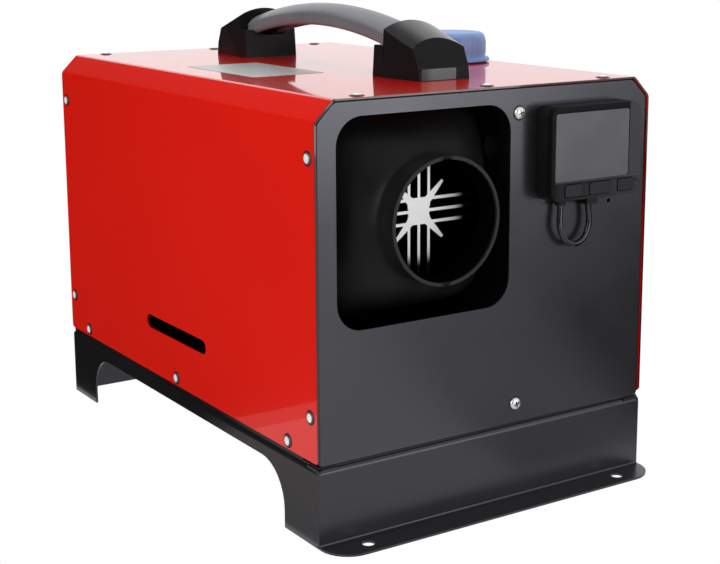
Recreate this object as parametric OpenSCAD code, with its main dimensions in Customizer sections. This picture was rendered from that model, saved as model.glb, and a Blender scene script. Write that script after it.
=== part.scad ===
// All-in-one diesel air heater: steel case on a base, air heater core, fuel tank, pump and controller.
// X runs to the right, Y from the outlet at the front to the back, Z up from the floor.

/* [Case] */
// Length of the case, front panel to rear panel
case_l = 385; // [378:1:420]
// Width of the case across the cover
case_w = 262; // [260:1:290]
// Height of the cover's top above the floor
case_h = 274; // [272:1:300]
// Bevel between the top and each side of the cover
bevel = 13; // [8:1:18]
// Thickness of the steel sheet
sheet_t = 1.2; // [1:0.1:1.6]
// Height of the cover's lower edge above the floor
cover_bottom = 54; // [53:0.5:58]
// Depth by which the end panels sit inside the cover
panel_recess = 0.8; // [0.4:0.1:2]
// Length of the edges bent back from the end panels
panel_flange = 18; // [16:1:24]
// Width of the square duct opening in the front panel
opening_w = 130; // [124:1:136]
// Corner radius of the duct opening
opening_r = 18; // [8:1:30]
// Length of the slot low in each side of the cover
slot_l = 94; // [60:1:120]
// Height of the side slot
slot_h = 10; // [6:1:14]

/* [Base] */
// Height of the base
base_h = 50.5; // [44:0.5:51]
// Thickness of the base's sheet
base_t = 1.5; // [1.2:0.1:2]
// Length of the flange in front of the base
flange_l = 21.5; // [18:0.5:30]
// Distance between the two fixing holes in the flange
flange_holes = 204; // [180:1:220]
// Diameter of the fixing holes
flange_hole_d = 8; // [5:0.5:10]
// Width of each foot along the side
foot_w = 42; // [30:1:60]
// Height of the arch between the feet
arch_h = 40; // [30:1:42]

/* [Handle] */
// Distance between the centres of the handle's feet
handle_span = 230; // [200:1:250]
// Width of the grip
grip_w = 27; // [22:1:30]
// Height of the grip's section
grip_h = 15.5; // [13:0.5:18]
// Clear height for the fingers under the middle of the grip
finger_gap = 29; // [26:1:40]
// Radius of the grip's arch
arch_r = 400; // [340:10:600]
// Width of the handle's feet at the grip
handle_foot_w = 45; // [42:1:50]

/* [Controller] */
// Width of the controller
ctrl_w = 76; // [70:1:84]
// Height of the controller
ctrl_h = 61; // [56:1:66]
// Depth of the controller in front of the panel
ctrl_d = 15.5; // [14:0.5:20]
// Gap between the duct opening and the controller
ctrl_gap = 21; // [13:1:26]
// Distance from the controller to the top of the case
ctrl_top = 14; // [10:1:24]
// Width of the screen
screen_w = 62.5; // [50:0.5:64]
// Height of the screen
screen_h = 44.5; // [36:0.5:45]
// Height of the three buttons
button_h = 7.8; // [6:0.2:8.4]
// Travel of a button
button_travel = 0.7; // [0.4:0.1:0.9]
// Diameter of the controller's cable
cable_d = 4; // [3:0.2:4.6]

/* [Heater core] */
// Width and height of the heater's square casing
core_w = 128; // [120:1:130]
// Gap between the heater and the side of the case
core_side = 16; // [14:1:24]
// Gap between the heater and the top of the case
core_top = 12; // [11:1:20]
// Outer diameter of the outlet spigot
spigot_d = 77; // [72:0.5:84]
// Length by which the outlet stands out of the case
spigot_out = 21; // [12:0.5:30]
// Number of blades on the heating fan
fan_blades = 9; // [7:1:11]
// Diameter of the rotor shaft
shaft_d = 6; // [5:0.5:8]
// Diameter of the exhaust outlet
exhaust_d = 24; // [20:0.5:28]
// Diameter of the combustion-air inlet
air_d = 25; // [20:0.5:28]

/* [Fuel] */
// Gap between the tank and the partition beside it
tank_wall_gap = 1.8; // [1:0.1:12]
// Length of the tank
tank_l = 250; // [200:1:270]
// Room between the tank and the top of the case
tank_room = 22.3; // [18:0.1:70]
// Diameter of the cap
cap_d = 54; // [48:1:58]
// Height of the cap above the cover
cap_h = 22; // [18:0.5:28]
// Distance by which the filler's axis lies right of the tank's middle
filler_off = 10; // [2:1:12]
// Distance from the filler's axis to the front of the case
filler_front = 168; // [150:1:190]
// Diameter of the fuel pump
pump_d = 29; // [26:1:32]

/* [Hidden] */
$fn = 48;

// Colours
RED = "#cf1a0e";
BLACK = "#232326";
SATIN = "#47484c";
RUBBER = "#141415";
ZINC = "#c9c9c6";
ALU = "#c4c6c8";

// Clearances
slide_gap = 0.3;        // between sheets that slide into each other
seat_gap = 0.3;         // between a piece and the curved seat that holds it
run_gap = 0.05;         // radial, between the shaft and its bearings
turn_gap = 0.4;         // round the buttons and inside the cap
hole_gap = 0.15;        // round the shank of a screw or rivet

// Reference planes. The origin is the middle of the footprint at the floor.
inlet_out = 6;                                   // reach of the power inlet behind the case
front_out = max(flange_l, spigot_out);
case_y = (front_out - inlet_out) / 2;
front_y = case_y - case_l / 2;
back_y = case_y + case_l / 2;
panel_y = front_y + panel_recess;                // outer face of the front panel
rear_y = back_y - panel_recess;                  // outer face of the rear panel
side_in = case_w / 2 - sheet_t;                  // inner face of the cover's side
top_in = case_h - sheet_t;                       // inner face of the cover's top
floor_z = base_h + sheet_t;                      // top of the floor plate

// Heater axis
core_x = -case_w / 2 + core_side + core_w / 2;
core_z = case_h - core_top - core_w / 2;
core_r = 22;                                     // corner radius of the heater's casing
core_t = 2;                                      // wall of the heater's casing
spigot_t = 2;
rim_y = front_y - spigot_out;
hood_y = front_y + 34;                           // back edge of the outlet hood's dome
shell_y0 = hood_y + 8;
cowl_y1 = back_y - 19;                           // intake grille, with room behind it for the air
shell_y1 = cowl_y1 - 44;
// The partition stands between the heater and the tank, with the panel screws in front of it
screw_beside = 7.5;                              // screws' line to the heater, and to the partition
screw_x = core_x + core_w / 2 + screw_beside;    // panel screws, in line above each other
wall_x = screw_x + screw_beside;                 // left face of the partition
tank_side = 6;                                   // from the case's right side
tank_x0 = wall_x + sheet_t + tank_wall_gap;
tank_w = case_w / 2 - tank_side - tank_x0;
// From the fan forwards the pieces stand against each other; the exchanger takes up the rest
fan_y1 = shell_y1 + 6;
fan_y0 = fan_y1 - 38;
motor_y1 = fan_y0 - 10;
motor_y0 = motor_y1 - 56;
housing_y1 = motor_y0;
gasket_y = housing_y1 - 44;
exch_y1 = gasket_y - 2;
exch_y0 = front_y + 9;                           // front tips of the exchanger's fins
dome_y = exch_y0 + 20;                           // closed end of the exchanger's cup
cup_r = 38;
cup_t = 4;

// ---------------------------------------------------------------- shapes used by many pieces

module block(low, high) {
    translate(low) cube(high - low);
}

// Extrusions of an outline drawn as seen from the front, from the side and from above
module extrude_y(y0, y1) {
    translate([0, y1, 0]) rotate([90, 0, 0]) linear_extrude(y1 - y0) children();
}

module extrude_x(x0, x1) {
    translate([x0, 0, 0]) rotate([90, 0, 90]) linear_extrude(x1 - x0) children();
}

module extrude_z(z0, z1) {
    translate([0, 0, z0]) linear_extrude(z1 - z0) children();
}

module rod_x(r, x0, x1) {
    translate([x0, 0, 0]) rotate([0, 90, 0]) cylinder(h = x1 - x0, r = r);
}

module rod_y(r, y0, y1) {
    translate([0, y0, 0]) rotate([-90, 0, 0]) cylinder(h = y1 - y0, r = r);
}

module rod_z(r, z0, z1) {
    translate([0, 0, z0]) cylinder(h = z1 - z0, r = r);
}

module tube_y(r_out, r_in, y0, y1) {
    difference() {
        rod_y(r_out, y0, y1);
        rod_y(r_in, y0 - 1, y1 + 1);
    }
}

module tube_z(r_out, r_in, z0, z1) {
    difference() {
        rod_z(r_out, z0, z1);
        rod_z(r_in, z0 - 1, z1 + 1);
    }
}

// Profile of radius against distance along Y, turned about the Y axis
module turn_y() {
    rotate([-90, 0, 0]) rotate_extrude() children();
}

module rounded_rect(w, h, r) {
    square([w - 2 * r, h], center = true);
    square([w, h - 2 * r], center = true);
    for (x = [-1, 1], y = [-1, 1])
        translate([x * (w / 2 - r), y * (h / 2 - r)]) circle(r);
}

module slot_2d(l, h) {
    square([l - h, h], center = true);
    for (x = [-1, 1]) translate([x * (l - h) / 2, 0]) circle(h / 2);
}

module at_core(y = 0) {
    translate([core_x, y, core_z]) children();
}

// Section of the cover, moved inwards by inset, with its lower edge at z0
function cover_outline(inset, z0) =
    let (w = case_w / 2 - inset, h = case_h - inset, k = inset * tan(22.5))
    [[-w, z0], [w, z0], [w, case_h - bevel - k], [case_w / 2 - bevel - k, h],
     [-case_w / 2 + bevel + k, h], [-w, case_h - bevel - k]];

// Smooth tube along hand-placed points: one polyhedron of rings between flat ends
function spline(p0, p1, p2, p3, t) =
    0.5 * (2 * p1 + (p2 - p0) * t + (2 * p0 - 5 * p1 + 4 * p2 - p3) * t * t
           + (3 * p1 - p0 - 3 * p2 + p3) * t * t * t);
function smooth_route(pts, steps) =
    let (n = len(pts))
    [for (i = [0 : n - 2], s = [0 : steps - 1])
        spline(pts[max(i - 1, 0)], pts[i], pts[i + 1], pts[min(i + 2, n - 1)], s / steps),
     pts[n - 1]];
function unit(v) = v / norm(v);
function headings(path, first, last) =
    [for (i = [0 : len(path) - 1])
        i == 0 ? first : i == len(path) - 1 ? last : unit(path[i + 1] - path[i - 1])];
function side_vectors(dirs, i, side) =
    let (flat = unit(side - (side * dirs[i]) * dirs[i]))
    i == len(dirs) - 1 ? [flat] : concat([flat], side_vectors(dirs, i + 1, flat));
module swept_tube(route, r, first, last, side, sides = 8, steps = 3) {
    path = smooth_route(route, steps);
    dirs = headings(path, first, last);
    across = side_vectors(dirs, 0, side);
    n = len(path);
    points = [for (i = [0 : n - 1], k = [0 : sides - 1])
        let (a = 360 * k / sides, v = cross(dirs[i], across[i]))
        path[i] + r * (cos(a) * across[i] + sin(a) * v)];
    faces = concat(
        [[for (k = [0 : sides - 1]) k]],
        [for (i = [0 : n - 2], k = [0 : sides - 1])
            let (j = (k + 1) % sides)
            [i * sides + k, (i + 1) * sides + k, (i + 1) * sides + j, i * sides + j]],
        [[for (k = [sides - 1 : -1 : 0]) (n - 1) * sides + k]]);
    polyhedron(points, faces);
}

// ---------------------------------------------------------------- case

// Rivets: along the ends of each side, along the lower edge and along the ends of the top
rivet_in = 8;                                    // from the end of the cover
rivet_high = 34.5;                               // below the top
rivet_low = 28;                                  // above the cover's lower edge
rivet_base = 5.5;                                // above the cover's lower edge, into the floor plate
rivet_pitch = 157;
rivet_top_pitch = 96.5;
rivet_r = 1.6;
rivet_head_r = 4.3;
rivet_head_h = 1.6;
end_rows = [front_y + rivet_in, back_y - rivet_in];
side_rivets = concat(
    [for (y = end_rows, z = [case_h - rivet_high, cover_bottom + rivet_low]) [y, z]],
    [for (i = [-1 : 1]) [case_y + i * rivet_pitch, cover_bottom + rivet_base]]);
top_rivets = [for (y = end_rows, i = [-1 : 1]) [i * rivet_top_pitch, y]];

module at_side_rivets() {
    for (s = [-1, 1], p = side_rivets)
        translate([s * case_w / 2, p[0], p[1]]) rotate([0, s * 90, 0]) children();
}

module at_top_rivets() {
    for (p = top_rivets) translate([p[0], p[1], case_h]) children();
}

// Handle: the grip follows one arc and its ends sit in two moulded feet
handle_foot_l = 40;                              // length of a foot's hood along Y
foot_out = handle_span / 2 + handle_foot_l / 2 + 5;   // outer end, from the case's middle
foot_in = foot_out - handle_foot_l;              // mouth of the hood
foot_tongue = 12;                                // low part under the grip, inwards of the mouth
grip_z = case_h + finger_gap + grip_h / 2;       // middle of the grip's section at the top of the arch
bolt_r = 2.5;
bolt_rows = [foot_in + 12, foot_in + 26];
bolt_deep = 10;

// Filler
filler_x = tank_x0 + tank_w / 2 + filler_off;
filler_y = front_y + filler_front;
neck_r = cap_d / 2 - 3 - turn_gap;
neck_t = 3;
neck_hole_r = neck_r + 2.6;

screw_zs = [floor_z + 13.3, case_h - 17.6];

module cover_openings() {
    hole_r = rivet_r + hole_gap;
    at_side_rivets() rod_z(hole_r, -3 * sheet_t, 1);
    at_top_rivets() rod_z(hole_r, -3 * sheet_t, 1);
    extrude_x(-case_w, case_w) translate([case_y, cover_bottom + 38]) slot_2d(slot_l, slot_h);
    translate([filler_x, filler_y, 0]) rod_z(neck_hole_r + slide_gap / 2, tank_top + 5, case_h + 1);
    for (s = [-1, 1], y = bolt_rows)
        translate([0, case_y + s * y, 0]) rod_z(bolt_r + hole_gap, case_h - 2 * sheet_t, case_h + 1);
}

module case_cover() {
    corner_r = 3;
    side_h = case_h + 2 * corner_r - cover_bottom;
    color(RED) difference() {
        intersection() {
            extrude_y(front_y, back_y) difference() {
                polygon(cover_outline(0, cover_bottom));
                polygon(cover_outline(sheet_t, cover_bottom - 5));
            }
            extrude_x(-case_w, case_w) translate([case_y, cover_bottom + side_h / 2])
                rounded_rect(case_l, side_h, corner_r);
        }
        cover_openings();
    }
}

// A bare end panel with its outer face at y = 0 and its edges bent towards +Y
module panel_blank() {
    inset = sheet_t + slide_gap;
    edge_x = case_w / 2 - inset;
    edge_top = case_h - inset;
    relief = 6;
    extrude_y(0, sheet_t) polygon(cover_outline(inset, floor_z));
    for (s = [-1, 1])
        mirror([s > 0 ? 0 : 1, 0, 0])
            block([edge_x - sheet_t, 0, floor_z + relief],
                  [edge_x, panel_flange, case_h - bevel - relief]);
    block([-case_w / 2 + bevel + relief, 0, edge_top - sheet_t],
          [case_w / 2 - bevel - relief, panel_flange, edge_top]);
    block([-edge_x + 2 * relief, 0, floor_z], [edge_x - 2 * relief, panel_flange, floor_z + sheet_t]);
}

module panel_holes() {
    hole_r = rivet_r + hole_gap;
    at_side_rivets() rod_z(hole_r, -4 * sheet_t, 1);
    at_top_rivets() rod_z(hole_r, -4 * sheet_t, 1);
    for (z = screw_zs) translate([screw_x, 0, z]) rod_y(screw_r + hole_gap, -case_l, case_l);
}

module front_panel() {
    color(SATIN) difference() {
        translate([0, panel_y, 0]) panel_blank();
        panel_holes();
        at_core() extrude_y(panel_y - 1, panel_y + sheet_t + 1)
            rounded_rect(opening_w, opening_w, opening_r);
        // Hole for the controller's cable and the two fixings of its cradle
        translate([cable_right_x, 0, cable_port_z]) rod_y(cable_port_r, panel_y - 1, panel_y + 5);
        for (s = [-1, 1])
            translate([ctrl_x + s * cradle_pitch / 2, 0, ctrl_z]) rod_y(1.65, panel_y - 1, panel_y + 5);
        // Drain hole below the controller
        translate([ctrl_x + 25, 0, ctrl_z0 - 6.5]) rod_y(1.5, panel_y - 1, panel_y + 5);
    }
}

grille_r = 52;
grille_pitch = 11;
grille_slot = 5;
inlet_x = core_x + 30;
inlet_z = floor_z + 32;
inlet_r = 9;

module rear_panel() {
    color(SATIN) difference() {
        translate([0, rear_y, 0]) mirror([0, 1, 0]) panel_blank();
        panel_holes();
        // Round intake grille of level slots behind the heater
        at_core() for (i = [-4 : 4])
            translate([0, 0, i * grille_pitch]) extrude_y(rear_y - 5, rear_y + 1)
                slot_2d(2 * sqrt(grille_r * grille_r - pow(i * grille_pitch, 2)), grille_slot);
        translate([inlet_x, 0, inlet_z]) rod_y(inlet_r + hole_gap, rear_y - 5, rear_y + 1);
    }
}

screw_r = 2;
wall_flange = 13;

module partition() {
    y0 = panel_y + sheet_t;
    y1 = rear_y - sheet_t;
    z0 = floor_z + sheet_t + slide_gap;
    z1 = top_in - sheet_t - 2 * slide_gap;
    // Where the partition meets the panels' bent edges it is cut back
    color(BLACK) difference() {
        union() {
            block([wall_x, y0, z0], [wall_x + sheet_t, y1, z1]);
            for (y = [y0, y1 - sheet_t])
                block([wall_x - wall_flange, y, z0], [wall_x + sheet_t, y + sheet_t, z1]);
        }
        for (z = screw_zs) translate([screw_x, 0, z]) rod_y(screw_r, y0 - 1, y1 + 1);
        // Holes for the fuel line and for the harness
        translate([0, tank_port_y, tank_port_z]) rod_x(9, wall_x - 1, wall_x + 5);
        translate([0, front_y + 40, ctrl_z]) rod_x(8, wall_x - 1, wall_x + 5);
    }
}

module base_stand() {
    w = case_w / 2 - 0.5;
    y0 = front_y;
    y1 = back_y;
    lip = 14;
    arch_r = 28;
    hole_y = front_y - flange_l / 2;
    color(BLACK) difference() {
        union() {
            // Skirts: an open box with a rim bent inwards along its top
            difference() {
                block([-w, y0, 0], [w, y1, base_h]);
                block([-w + base_t, y0 + base_t, -1], [w - base_t, y1 - base_t, base_h - base_t]);
                block([-w + lip, y0 + lip, -1], [w - lip, y1 - lip, base_h + 1]);
            }
            // Front flange with quarter-round ends
            extrude_z(0, base_t) intersection() {
                translate([0, y0]) rounded_rect(2 * w, 2 * flange_l, flange_l - 1.5);
                translate([-w, y0 - flange_l]) square([2 * w, flange_l + base_t]);
            }
            block([-w, y1 - 12, 0], [w, y1, base_t]);
        }
        // Arch between the feet on both sides
        extrude_x(-case_w, case_w) translate([case_y, 0])
            rounded_rect(case_l - 2 * foot_w, 2 * arch_h, arch_r);
        for (s = [-1, 1])
            translate([s * flange_holes / 2, hole_y, 0]) rod_z(flange_hole_d / 2, -1, base_t + 1);
        at_base_screws() rod_z(screw_r + hole_gap, -5, 5);
    }
}

module at_base_screws() {
    for (x = [-1, 1], y = [-1, 1])
        translate([x * (case_w / 2 - 9), case_y + y * (case_l / 2 - 30), base_h]) children();
}

module floor_plate() {
    edge_x = side_in - slide_gap;
    rim = 16;
    y0 = panel_y + 0.6;
    y1 = rear_y - 0.6;
    color(BLACK) difference() {
        union() {
            block([-edge_x, y0, base_h], [edge_x, y1, floor_z]);
            // Bent-up sides between the panels' own edges
            for (s = [-1, 1])
                mirror([s > 0 ? 0 : 1, 0, 0])
                    block([edge_x - sheet_t, panel_y + panel_flange + 1, base_h],
                          [edge_x, rear_y - panel_flange - 1, base_h + rim]);
        }
        at_side_rivets() rod_z(rivet_r + hole_gap, -4 * sheet_t, 1);
        at_base_screws() rod_z(screw_r + hole_gap, -5, 5);
        // Holes for the exhaust, the combustion air and the tank's drain
        translate([stub_x, exhaust_y, 0]) rod_z(exhaust_d / 2 + 5, base_h - 1, floor_z + 1);
        translate([stub_x, air_y, 0]) rod_z(air_d / 2 + 4, base_h - 1, floor_z + 1);
    }
}

module rivet() {
    ball = (pow(rivet_head_r, 2) + pow(rivet_head_h, 2)) / (2 * rivet_head_h);
    grip = 2 * sheet_t + slide_gap;
    intersection() {
        translate([0, 0, rivet_head_h - ball]) sphere(ball);
        rod_z(rivet_head_r, 0, rivet_head_h + 1);
    }
    rod_z(rivet_r, -grip - 1.5, 0.2);
    rod_z(rivet_r + 0.9, -grip - 2.5, -grip);
}

module cover_rivets() {
    color(ZINC) {
        at_side_rivets() rivet();
        at_top_rivets() rivet();
    }
}

// Pan-head screw with a cross recess; its seat is at z = 0 and it points down
module pan_screw(r, length) {
    head_h = 1.1 * r;
    difference() {
        intersection() {
            translate([0, 0, head_h - 2.6 * r]) sphere(2.6 * r);
            rod_z(2.1 * r, 0, head_h);
        }
        for (a = [0, 90]) rotate([0, 0, a])
            block([-1.1 * r, -0.25 * r, 0.45 * r], [1.1 * r, 0.25 * r, 3 * r]);
    }
    rod_z(r, -length, 0.1);
}

module panel_screws() {
    color(ZINC) {
        for (z = screw_zs) {
            translate([screw_x, panel_y, z]) rotate([90, 0, 0]) pan_screw(screw_r, 8);
            translate([screw_x, rear_y, z]) rotate([-90, 0, 0]) pan_screw(screw_r, 8);
        }
        at_base_screws() mirror([0, 0, 1]) translate([0, 0, base_t]) pan_screw(screw_r, 6);
    }
}

// ---------------------------------------------------------------- handle

// Section of the grip: x outwards along the arch's radius, y across; grow widens it all round
module grip_section(grow = 0) {
    w = grip_w + 2 * grow;
    h = grip_h + 2 * grow;
    crown = 0.44 * h;
    crown_r = (pow(w / 2, 2) + crown * crown) / (2 * crown);
    intersection() {
        rounded_rect(h, w, 3.5 + grow);
        translate([h / 2 - crown_r, 0]) circle(crown_r, $fn = 96);
    }
}

// The grip's arc, reaching to y = +-half from the middle
module grip_arc(half, grow = 0) {
    angle = asin(half / arch_r);
    translate([0, case_y, grip_z - arch_r]) rotate([0, -90, 0]) rotate([0, 0, -angle])
        rotate_extrude(angle = 2 * angle, $fn = 360) translate([arch_r, 0]) grip_section(grow);
}

module handle_grip() {
    color("#8b8b90") grip_arc(foot_in + 12);
}

// One foot in its own frame: the hood's mouth faces -Y, the outer end is at +Y
module handle_foot() {
    hood_h = 37.2;                                // crown of the hood at its mouth
    end_h = 27;                                   // crown of the hood at its outer end
    lean = 10.5;                                  // how far the outer end leans in
    crown = 6;
    taper = 2.5;                                  // how much narrower the outer end is, each side
    hw = handle_foot_w / 2;
    crown_r = (hw * hw + crown * crown) / (2 * crown);
    slope = atan((hood_h - end_h) / (handle_foot_l - lean));
    difference() {
        union() {
            // Hood: a barrel roof that falls away outwards, cut by the foot's side profile
            intersection() {
                translate([0, foot_in, case_h + hood_h]) rotate([-slope, 0, 0])
                    extrude_y(-10, handle_foot_l + 20) intersection() {
                        translate([0, -crown_r]) circle(crown_r, $fn = 96);
                        polygon([[-hw - 1, -hood_h - 30], [hw + 1, -hood_h - 30],
                                 [hw - 1.6, 0], [-hw + 1.6, 0]]);
                    }
                extrude_x(-hw, hw) polygon([
                    [foot_in, case_h], [foot_out, case_h], [foot_out - 1.5, case_h + 9],
                    [foot_out - lean, case_h + end_h], [foot_out - lean, case_h + hood_h + 1],
                    [foot_in, case_h + hood_h + 1]]);
                // Seen from above it narrows towards the outer end
                extrude_z(case_h, case_h + hood_h + 1) polygon([
                    [-hw, foot_in], [hw, foot_in], [hw - taper, foot_out], [taper - hw, foot_out]]);
            }
            // Tongue under the grip
            extrude_x(-hw + 0.5, hw - 0.5) polygon([
                [foot_in - foot_tongue, case_h], [foot_in + 1, case_h],
                [foot_in + 1, case_h + 21], [foot_in - foot_tongue + 2, case_h + 21]]);
        }
        // Socket for the grip; the tongue's top is hollowed to leave a gap under it
        translate([0, -case_y, 0]) {
            intersection() {
                grip_arc(foot_in + 12 + seat_gap, seat_gap);
                block([-50, foot_in + 1 + case_y, case_h], [50, foot_out + case_y, case_h + 60]);
            }
            intersection() {
                grip_arc(foot_in + 4, 1.6);
                block([-50, foot_in - 30 + case_y, case_h], [50, foot_in + 1 + case_y, case_h + 60]);
            }
        }
        for (y = bolt_rows) translate([0, y, case_h]) rod_z(bolt_r, -1, bolt_deep + 0.5);
        // Moulded step along the bottom of the outer end
        block([taper - hw + 1.5, foot_out - 0.7, case_h - 1],
              [hw - taper - 10.5, foot_out + 1, case_h + 8]);
    }
}

module handle_foot_rear() {
    color(RUBBER) translate([0, case_y, 0]) handle_foot();
}

module handle_foot_front() {
    color(RUBBER) translate([0, case_y, 0]) mirror([0, 1, 0]) handle_foot();
}

module handle_bolts() {
    color(ZINC) for (s = [-1, 1], y = bolt_rows)
        translate([0, case_y + s * y, top_in]) {
            rod_z(bolt_r, -0.1, sheet_t + bolt_deep);
            rod_z(2 * bolt_r, -1, 0);
            translate([0, 0, -4.4]) cylinder(h = 3.4, r = 1.75 * bolt_r, $fn = 6);
        }
}

// ---------------------------------------------------------------- controller

ctrl_x = core_x + opening_w / 2 + ctrl_gap + ctrl_w / 2;
ctrl_z = case_h - ctrl_top - ctrl_h / 2;
ctrl_z0 = ctrl_z - ctrl_h / 2;
ctrl_r = 7;
ctrl_t = 1.8;
cradle_w = ctrl_w - 14;
cradle_h = ctrl_h - 14;
cradle_t = 2;
cradle_pitch = 40;
back_d = 10;                                     // depth where the two halves meet
face_t = 1.5;
board_d = cradle_t + 2 * ctrl_t + 1;             // back of the board, in front of the panel
board_t = 1.6;
screen_x = ctrl_x - (ctrl_w - screen_w) / 2 + 3;
screen_z = ctrl_z + ctrl_h / 2 - 4 - screen_h / 2;
button_z = ctrl_z0 + 6.6;
button_xs = [ctrl_x - 19.5, ctrl_x + 3, ctrl_x + 25];
button_ws = [14, 17.5, 13.5];
button_out = 0.6;
button_back = ctrl_d - face_t - 2.1;             // back of a button's flange
cable_left_x = ctrl_x - 22;
cable_right_x = cable_left_x + 24;
relief_h = 4;
cable_y = panel_y - 5.5;
boot_h = 5;
cable_port_z = ctrl_z0 - 0.2 - boot_h / 2;
cable_port_r = cable_d / 2 + 0.4;

// Rounded block of the controller between two depths in front of the panel
module ctrl_slab(w, h, r, d0, d1) {
    translate([ctrl_x, 0, ctrl_z]) extrude_y(panel_y - d1, panel_y - d0) rounded_rect(w, h, r);
}

module controller_cradle() {
    color(BLACK) difference() {
        ctrl_slab(cradle_w, cradle_h, 5, 0, cradle_t);
        for (s = [-1, 1]) translate([ctrl_x + s * cradle_pitch / 2, 0, ctrl_z])
            rod_y(1.65, panel_y - 5, panel_y + 1);
        ctrl_slab(24, 22, 4, -1, cradle_t + 1);
    }
}

module controller_back() {
    color(RUBBER) difference() {
        ctrl_slab(ctrl_w, ctrl_h, ctrl_r, 0.2, back_d);
        ctrl_slab(cradle_w + 2 * slide_gap, cradle_h + 2 * slide_gap, 5 + slide_gap,
                  -1, cradle_t + slide_gap);
        difference() {
            ctrl_slab(ctrl_w - 2 * ctrl_t, ctrl_h - 2 * ctrl_t, ctrl_r - ctrl_t,
                      cradle_t + slide_gap + ctrl_t, back_d + 1);
            // Posts under the board
            for (x = [-1, 1], z = [-1, 1])
                translate([ctrl_x + x * (ctrl_w / 2 - 9), 0, ctrl_z + z * (ctrl_h / 2 - 9)])
                    rod_y(2.5, panel_y - board_d, panel_y - 1);
        }
    }
}

module controller_bezel() {
    ledge = 1.2;
    color("#26262a") difference() {
        union() {
            ctrl_slab(ctrl_w, ctrl_h, ctrl_r, back_d, ctrl_d - 0.8);
            ctrl_slab(ctrl_w - 1.6, ctrl_h - 1.6, ctrl_r - 0.8, back_d, ctrl_d);
        }
        ctrl_slab(ctrl_w - 2 * ctrl_t, ctrl_h - 2 * ctrl_t, ctrl_r - ctrl_t, back_d - 1, ctrl_d - face_t);
        translate([screen_x, 0, screen_z]) {
            extrude_y(panel_y - ctrl_d - 1, panel_y - back_d)
                rounded_rect(screen_w - 2 * ledge, screen_h - 2 * ledge, 1.5);
            extrude_y(panel_y - ctrl_d - 1, panel_y - ctrl_d + 0.9) rounded_rect(screen_w, screen_h, 2);
        }
        for (i = [0 : 2])
            translate([button_xs[i], 0, button_z])
                extrude_y(panel_y - ctrl_d - 1, panel_y - back_d)
                    rounded_rect(button_ws[i] + 2 * turn_gap, button_h + 2 * turn_gap, 1.6 + turn_gap);
    }
}

module controller_screen() {
    color("#616168") translate([screen_x, 0, screen_z])
        extrude_y(panel_y - ctrl_d + 0.1, panel_y - ctrl_d + 0.9)
            rounded_rect(screen_w - slide_gap, screen_h - slide_gap, 1.9);
}

module controller_board() {
    color("#1d5b33") {
        ctrl_slab(ctrl_w - 2 * ctrl_t - 1, ctrl_h - 2 * ctrl_t - 1, ctrl_r - ctrl_t - 0.5,
                  board_d, board_d + board_t);
        // Display glass behind the window
        translate([screen_x, 0, screen_z])
            extrude_y(panel_y - ctrl_d + face_t + 0.5, panel_y - board_d - board_t + 0.01)
                square([screen_w - 6, screen_h - 6], center = true);
        // Switches behind the buttons
        for (i = [0 : 2]) translate([button_xs[i], 0, button_z]) {
            extrude_y(panel_y - board_d - board_t - 1, panel_y - board_d)
                square([6, 5], center = true);
            rod_y(1.6, panel_y - button_back + button_travel + 0.3, panel_y - board_d);
        }
    }
}

module button(i) {
    color("#3a3a3e") translate([button_xs[i], 0, button_z]) {
        extrude_y(panel_y - ctrl_d - button_out, panel_y - button_back)
            rounded_rect(button_ws[i], button_h, 1.6);
        extrude_y(panel_y - ctrl_d + face_t + 0.3, panel_y - button_back)
            rounded_rect(button_ws[i] + 2.2, button_h + 1.6, 2);
    }
}

module button_left() button(0);
module button_middle() button(1);
module button_right() button(2);

module cable_relief() {
    color(RUBBER) translate([cable_left_x, cable_y, 0]) {
        rod_z(3.6, ctrl_z0 - relief_h, ctrl_z0);
    }
}

// Moulded boot that turns the cable through the front panel
module cable_grommet() {
    color(RUBBER) {
        translate([cable_right_x, 0, 0])
            block([-4.6, panel_y - 9.6, ctrl_z0 - boot_h - 0.2], [4.6, panel_y, ctrl_z0 - 0.2]);
        translate([cable_right_x, 0, cable_port_z]) {
            rod_y(cable_port_r - hole_gap, panel_y - 1, panel_y + sheet_t + 0.1);
            rod_y(cable_port_r + 1, panel_y + sheet_t, panel_y + sheet_t + 2);
        }
    }
}

// Loop of cable: down from the relief, round, and up into the boot. The points are measured from
// the middle of the loop at the controller's lower edge: across, forwards, up.
cable_loop = [
    [-12, 0, -4], [-12, 0.2, -8], [-12.6, 0.6, -14], [-12.2, 1, -20], [-9, 1.2, -26.5], [-3.6, 1.2, -30.4],
    [3, 1.1, -30.6], [8.8, 0.8, -27], [12.2, 0.4, -20.6], [12.8, 0.2, -14], [12.2, 0, -9], [12, 0, -5.2]];

module controller_cable() {
    color("#1a1a1b") swept_tube(
        [for (p = cable_loop) [cable_left_x + 12 + p[0], cable_y - p[1], ctrl_z0 + p[2]]],
        cable_d / 2, [0, 0, -1], [0, 0, 1], [0, 1, 0]);
}

// ---------------------------------------------------------------- outlet, casing and inlet

plug_gap = slide_gap;
plug_t = 1.8;
plug_l = 8;
half = core_w / 2;
spigot_r = spigot_d / 2;

module core_square(inset = 0) {
    rounded_rect(core_w - 2 * inset, core_w - 2 * inset, core_r - inset);
}

// Sections of the outlet hood's dome: place along Y, half width, corner radius
dome = [[front_y - 4, spigot_r, spigot_r - 0.01], [front_y + 5, 0.38 * half + 0.62 * spigot_r, spigot_r],
        [front_y + 17, 0.78 * half + 0.22 * spigot_r, 0.55 * spigot_r + 0.45 * core_r],
        [hood_y, half, core_r]];

module dome_slice(i, inset) {
    translate([0, dome[i][0], 0]) extrude_y(-0.01, 0.01)
        rounded_rect(2 * (dome[i][1] - inset), 2 * (dome[i][1] - inset), dome[i][2] - inset, $fn = 32);
}

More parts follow.
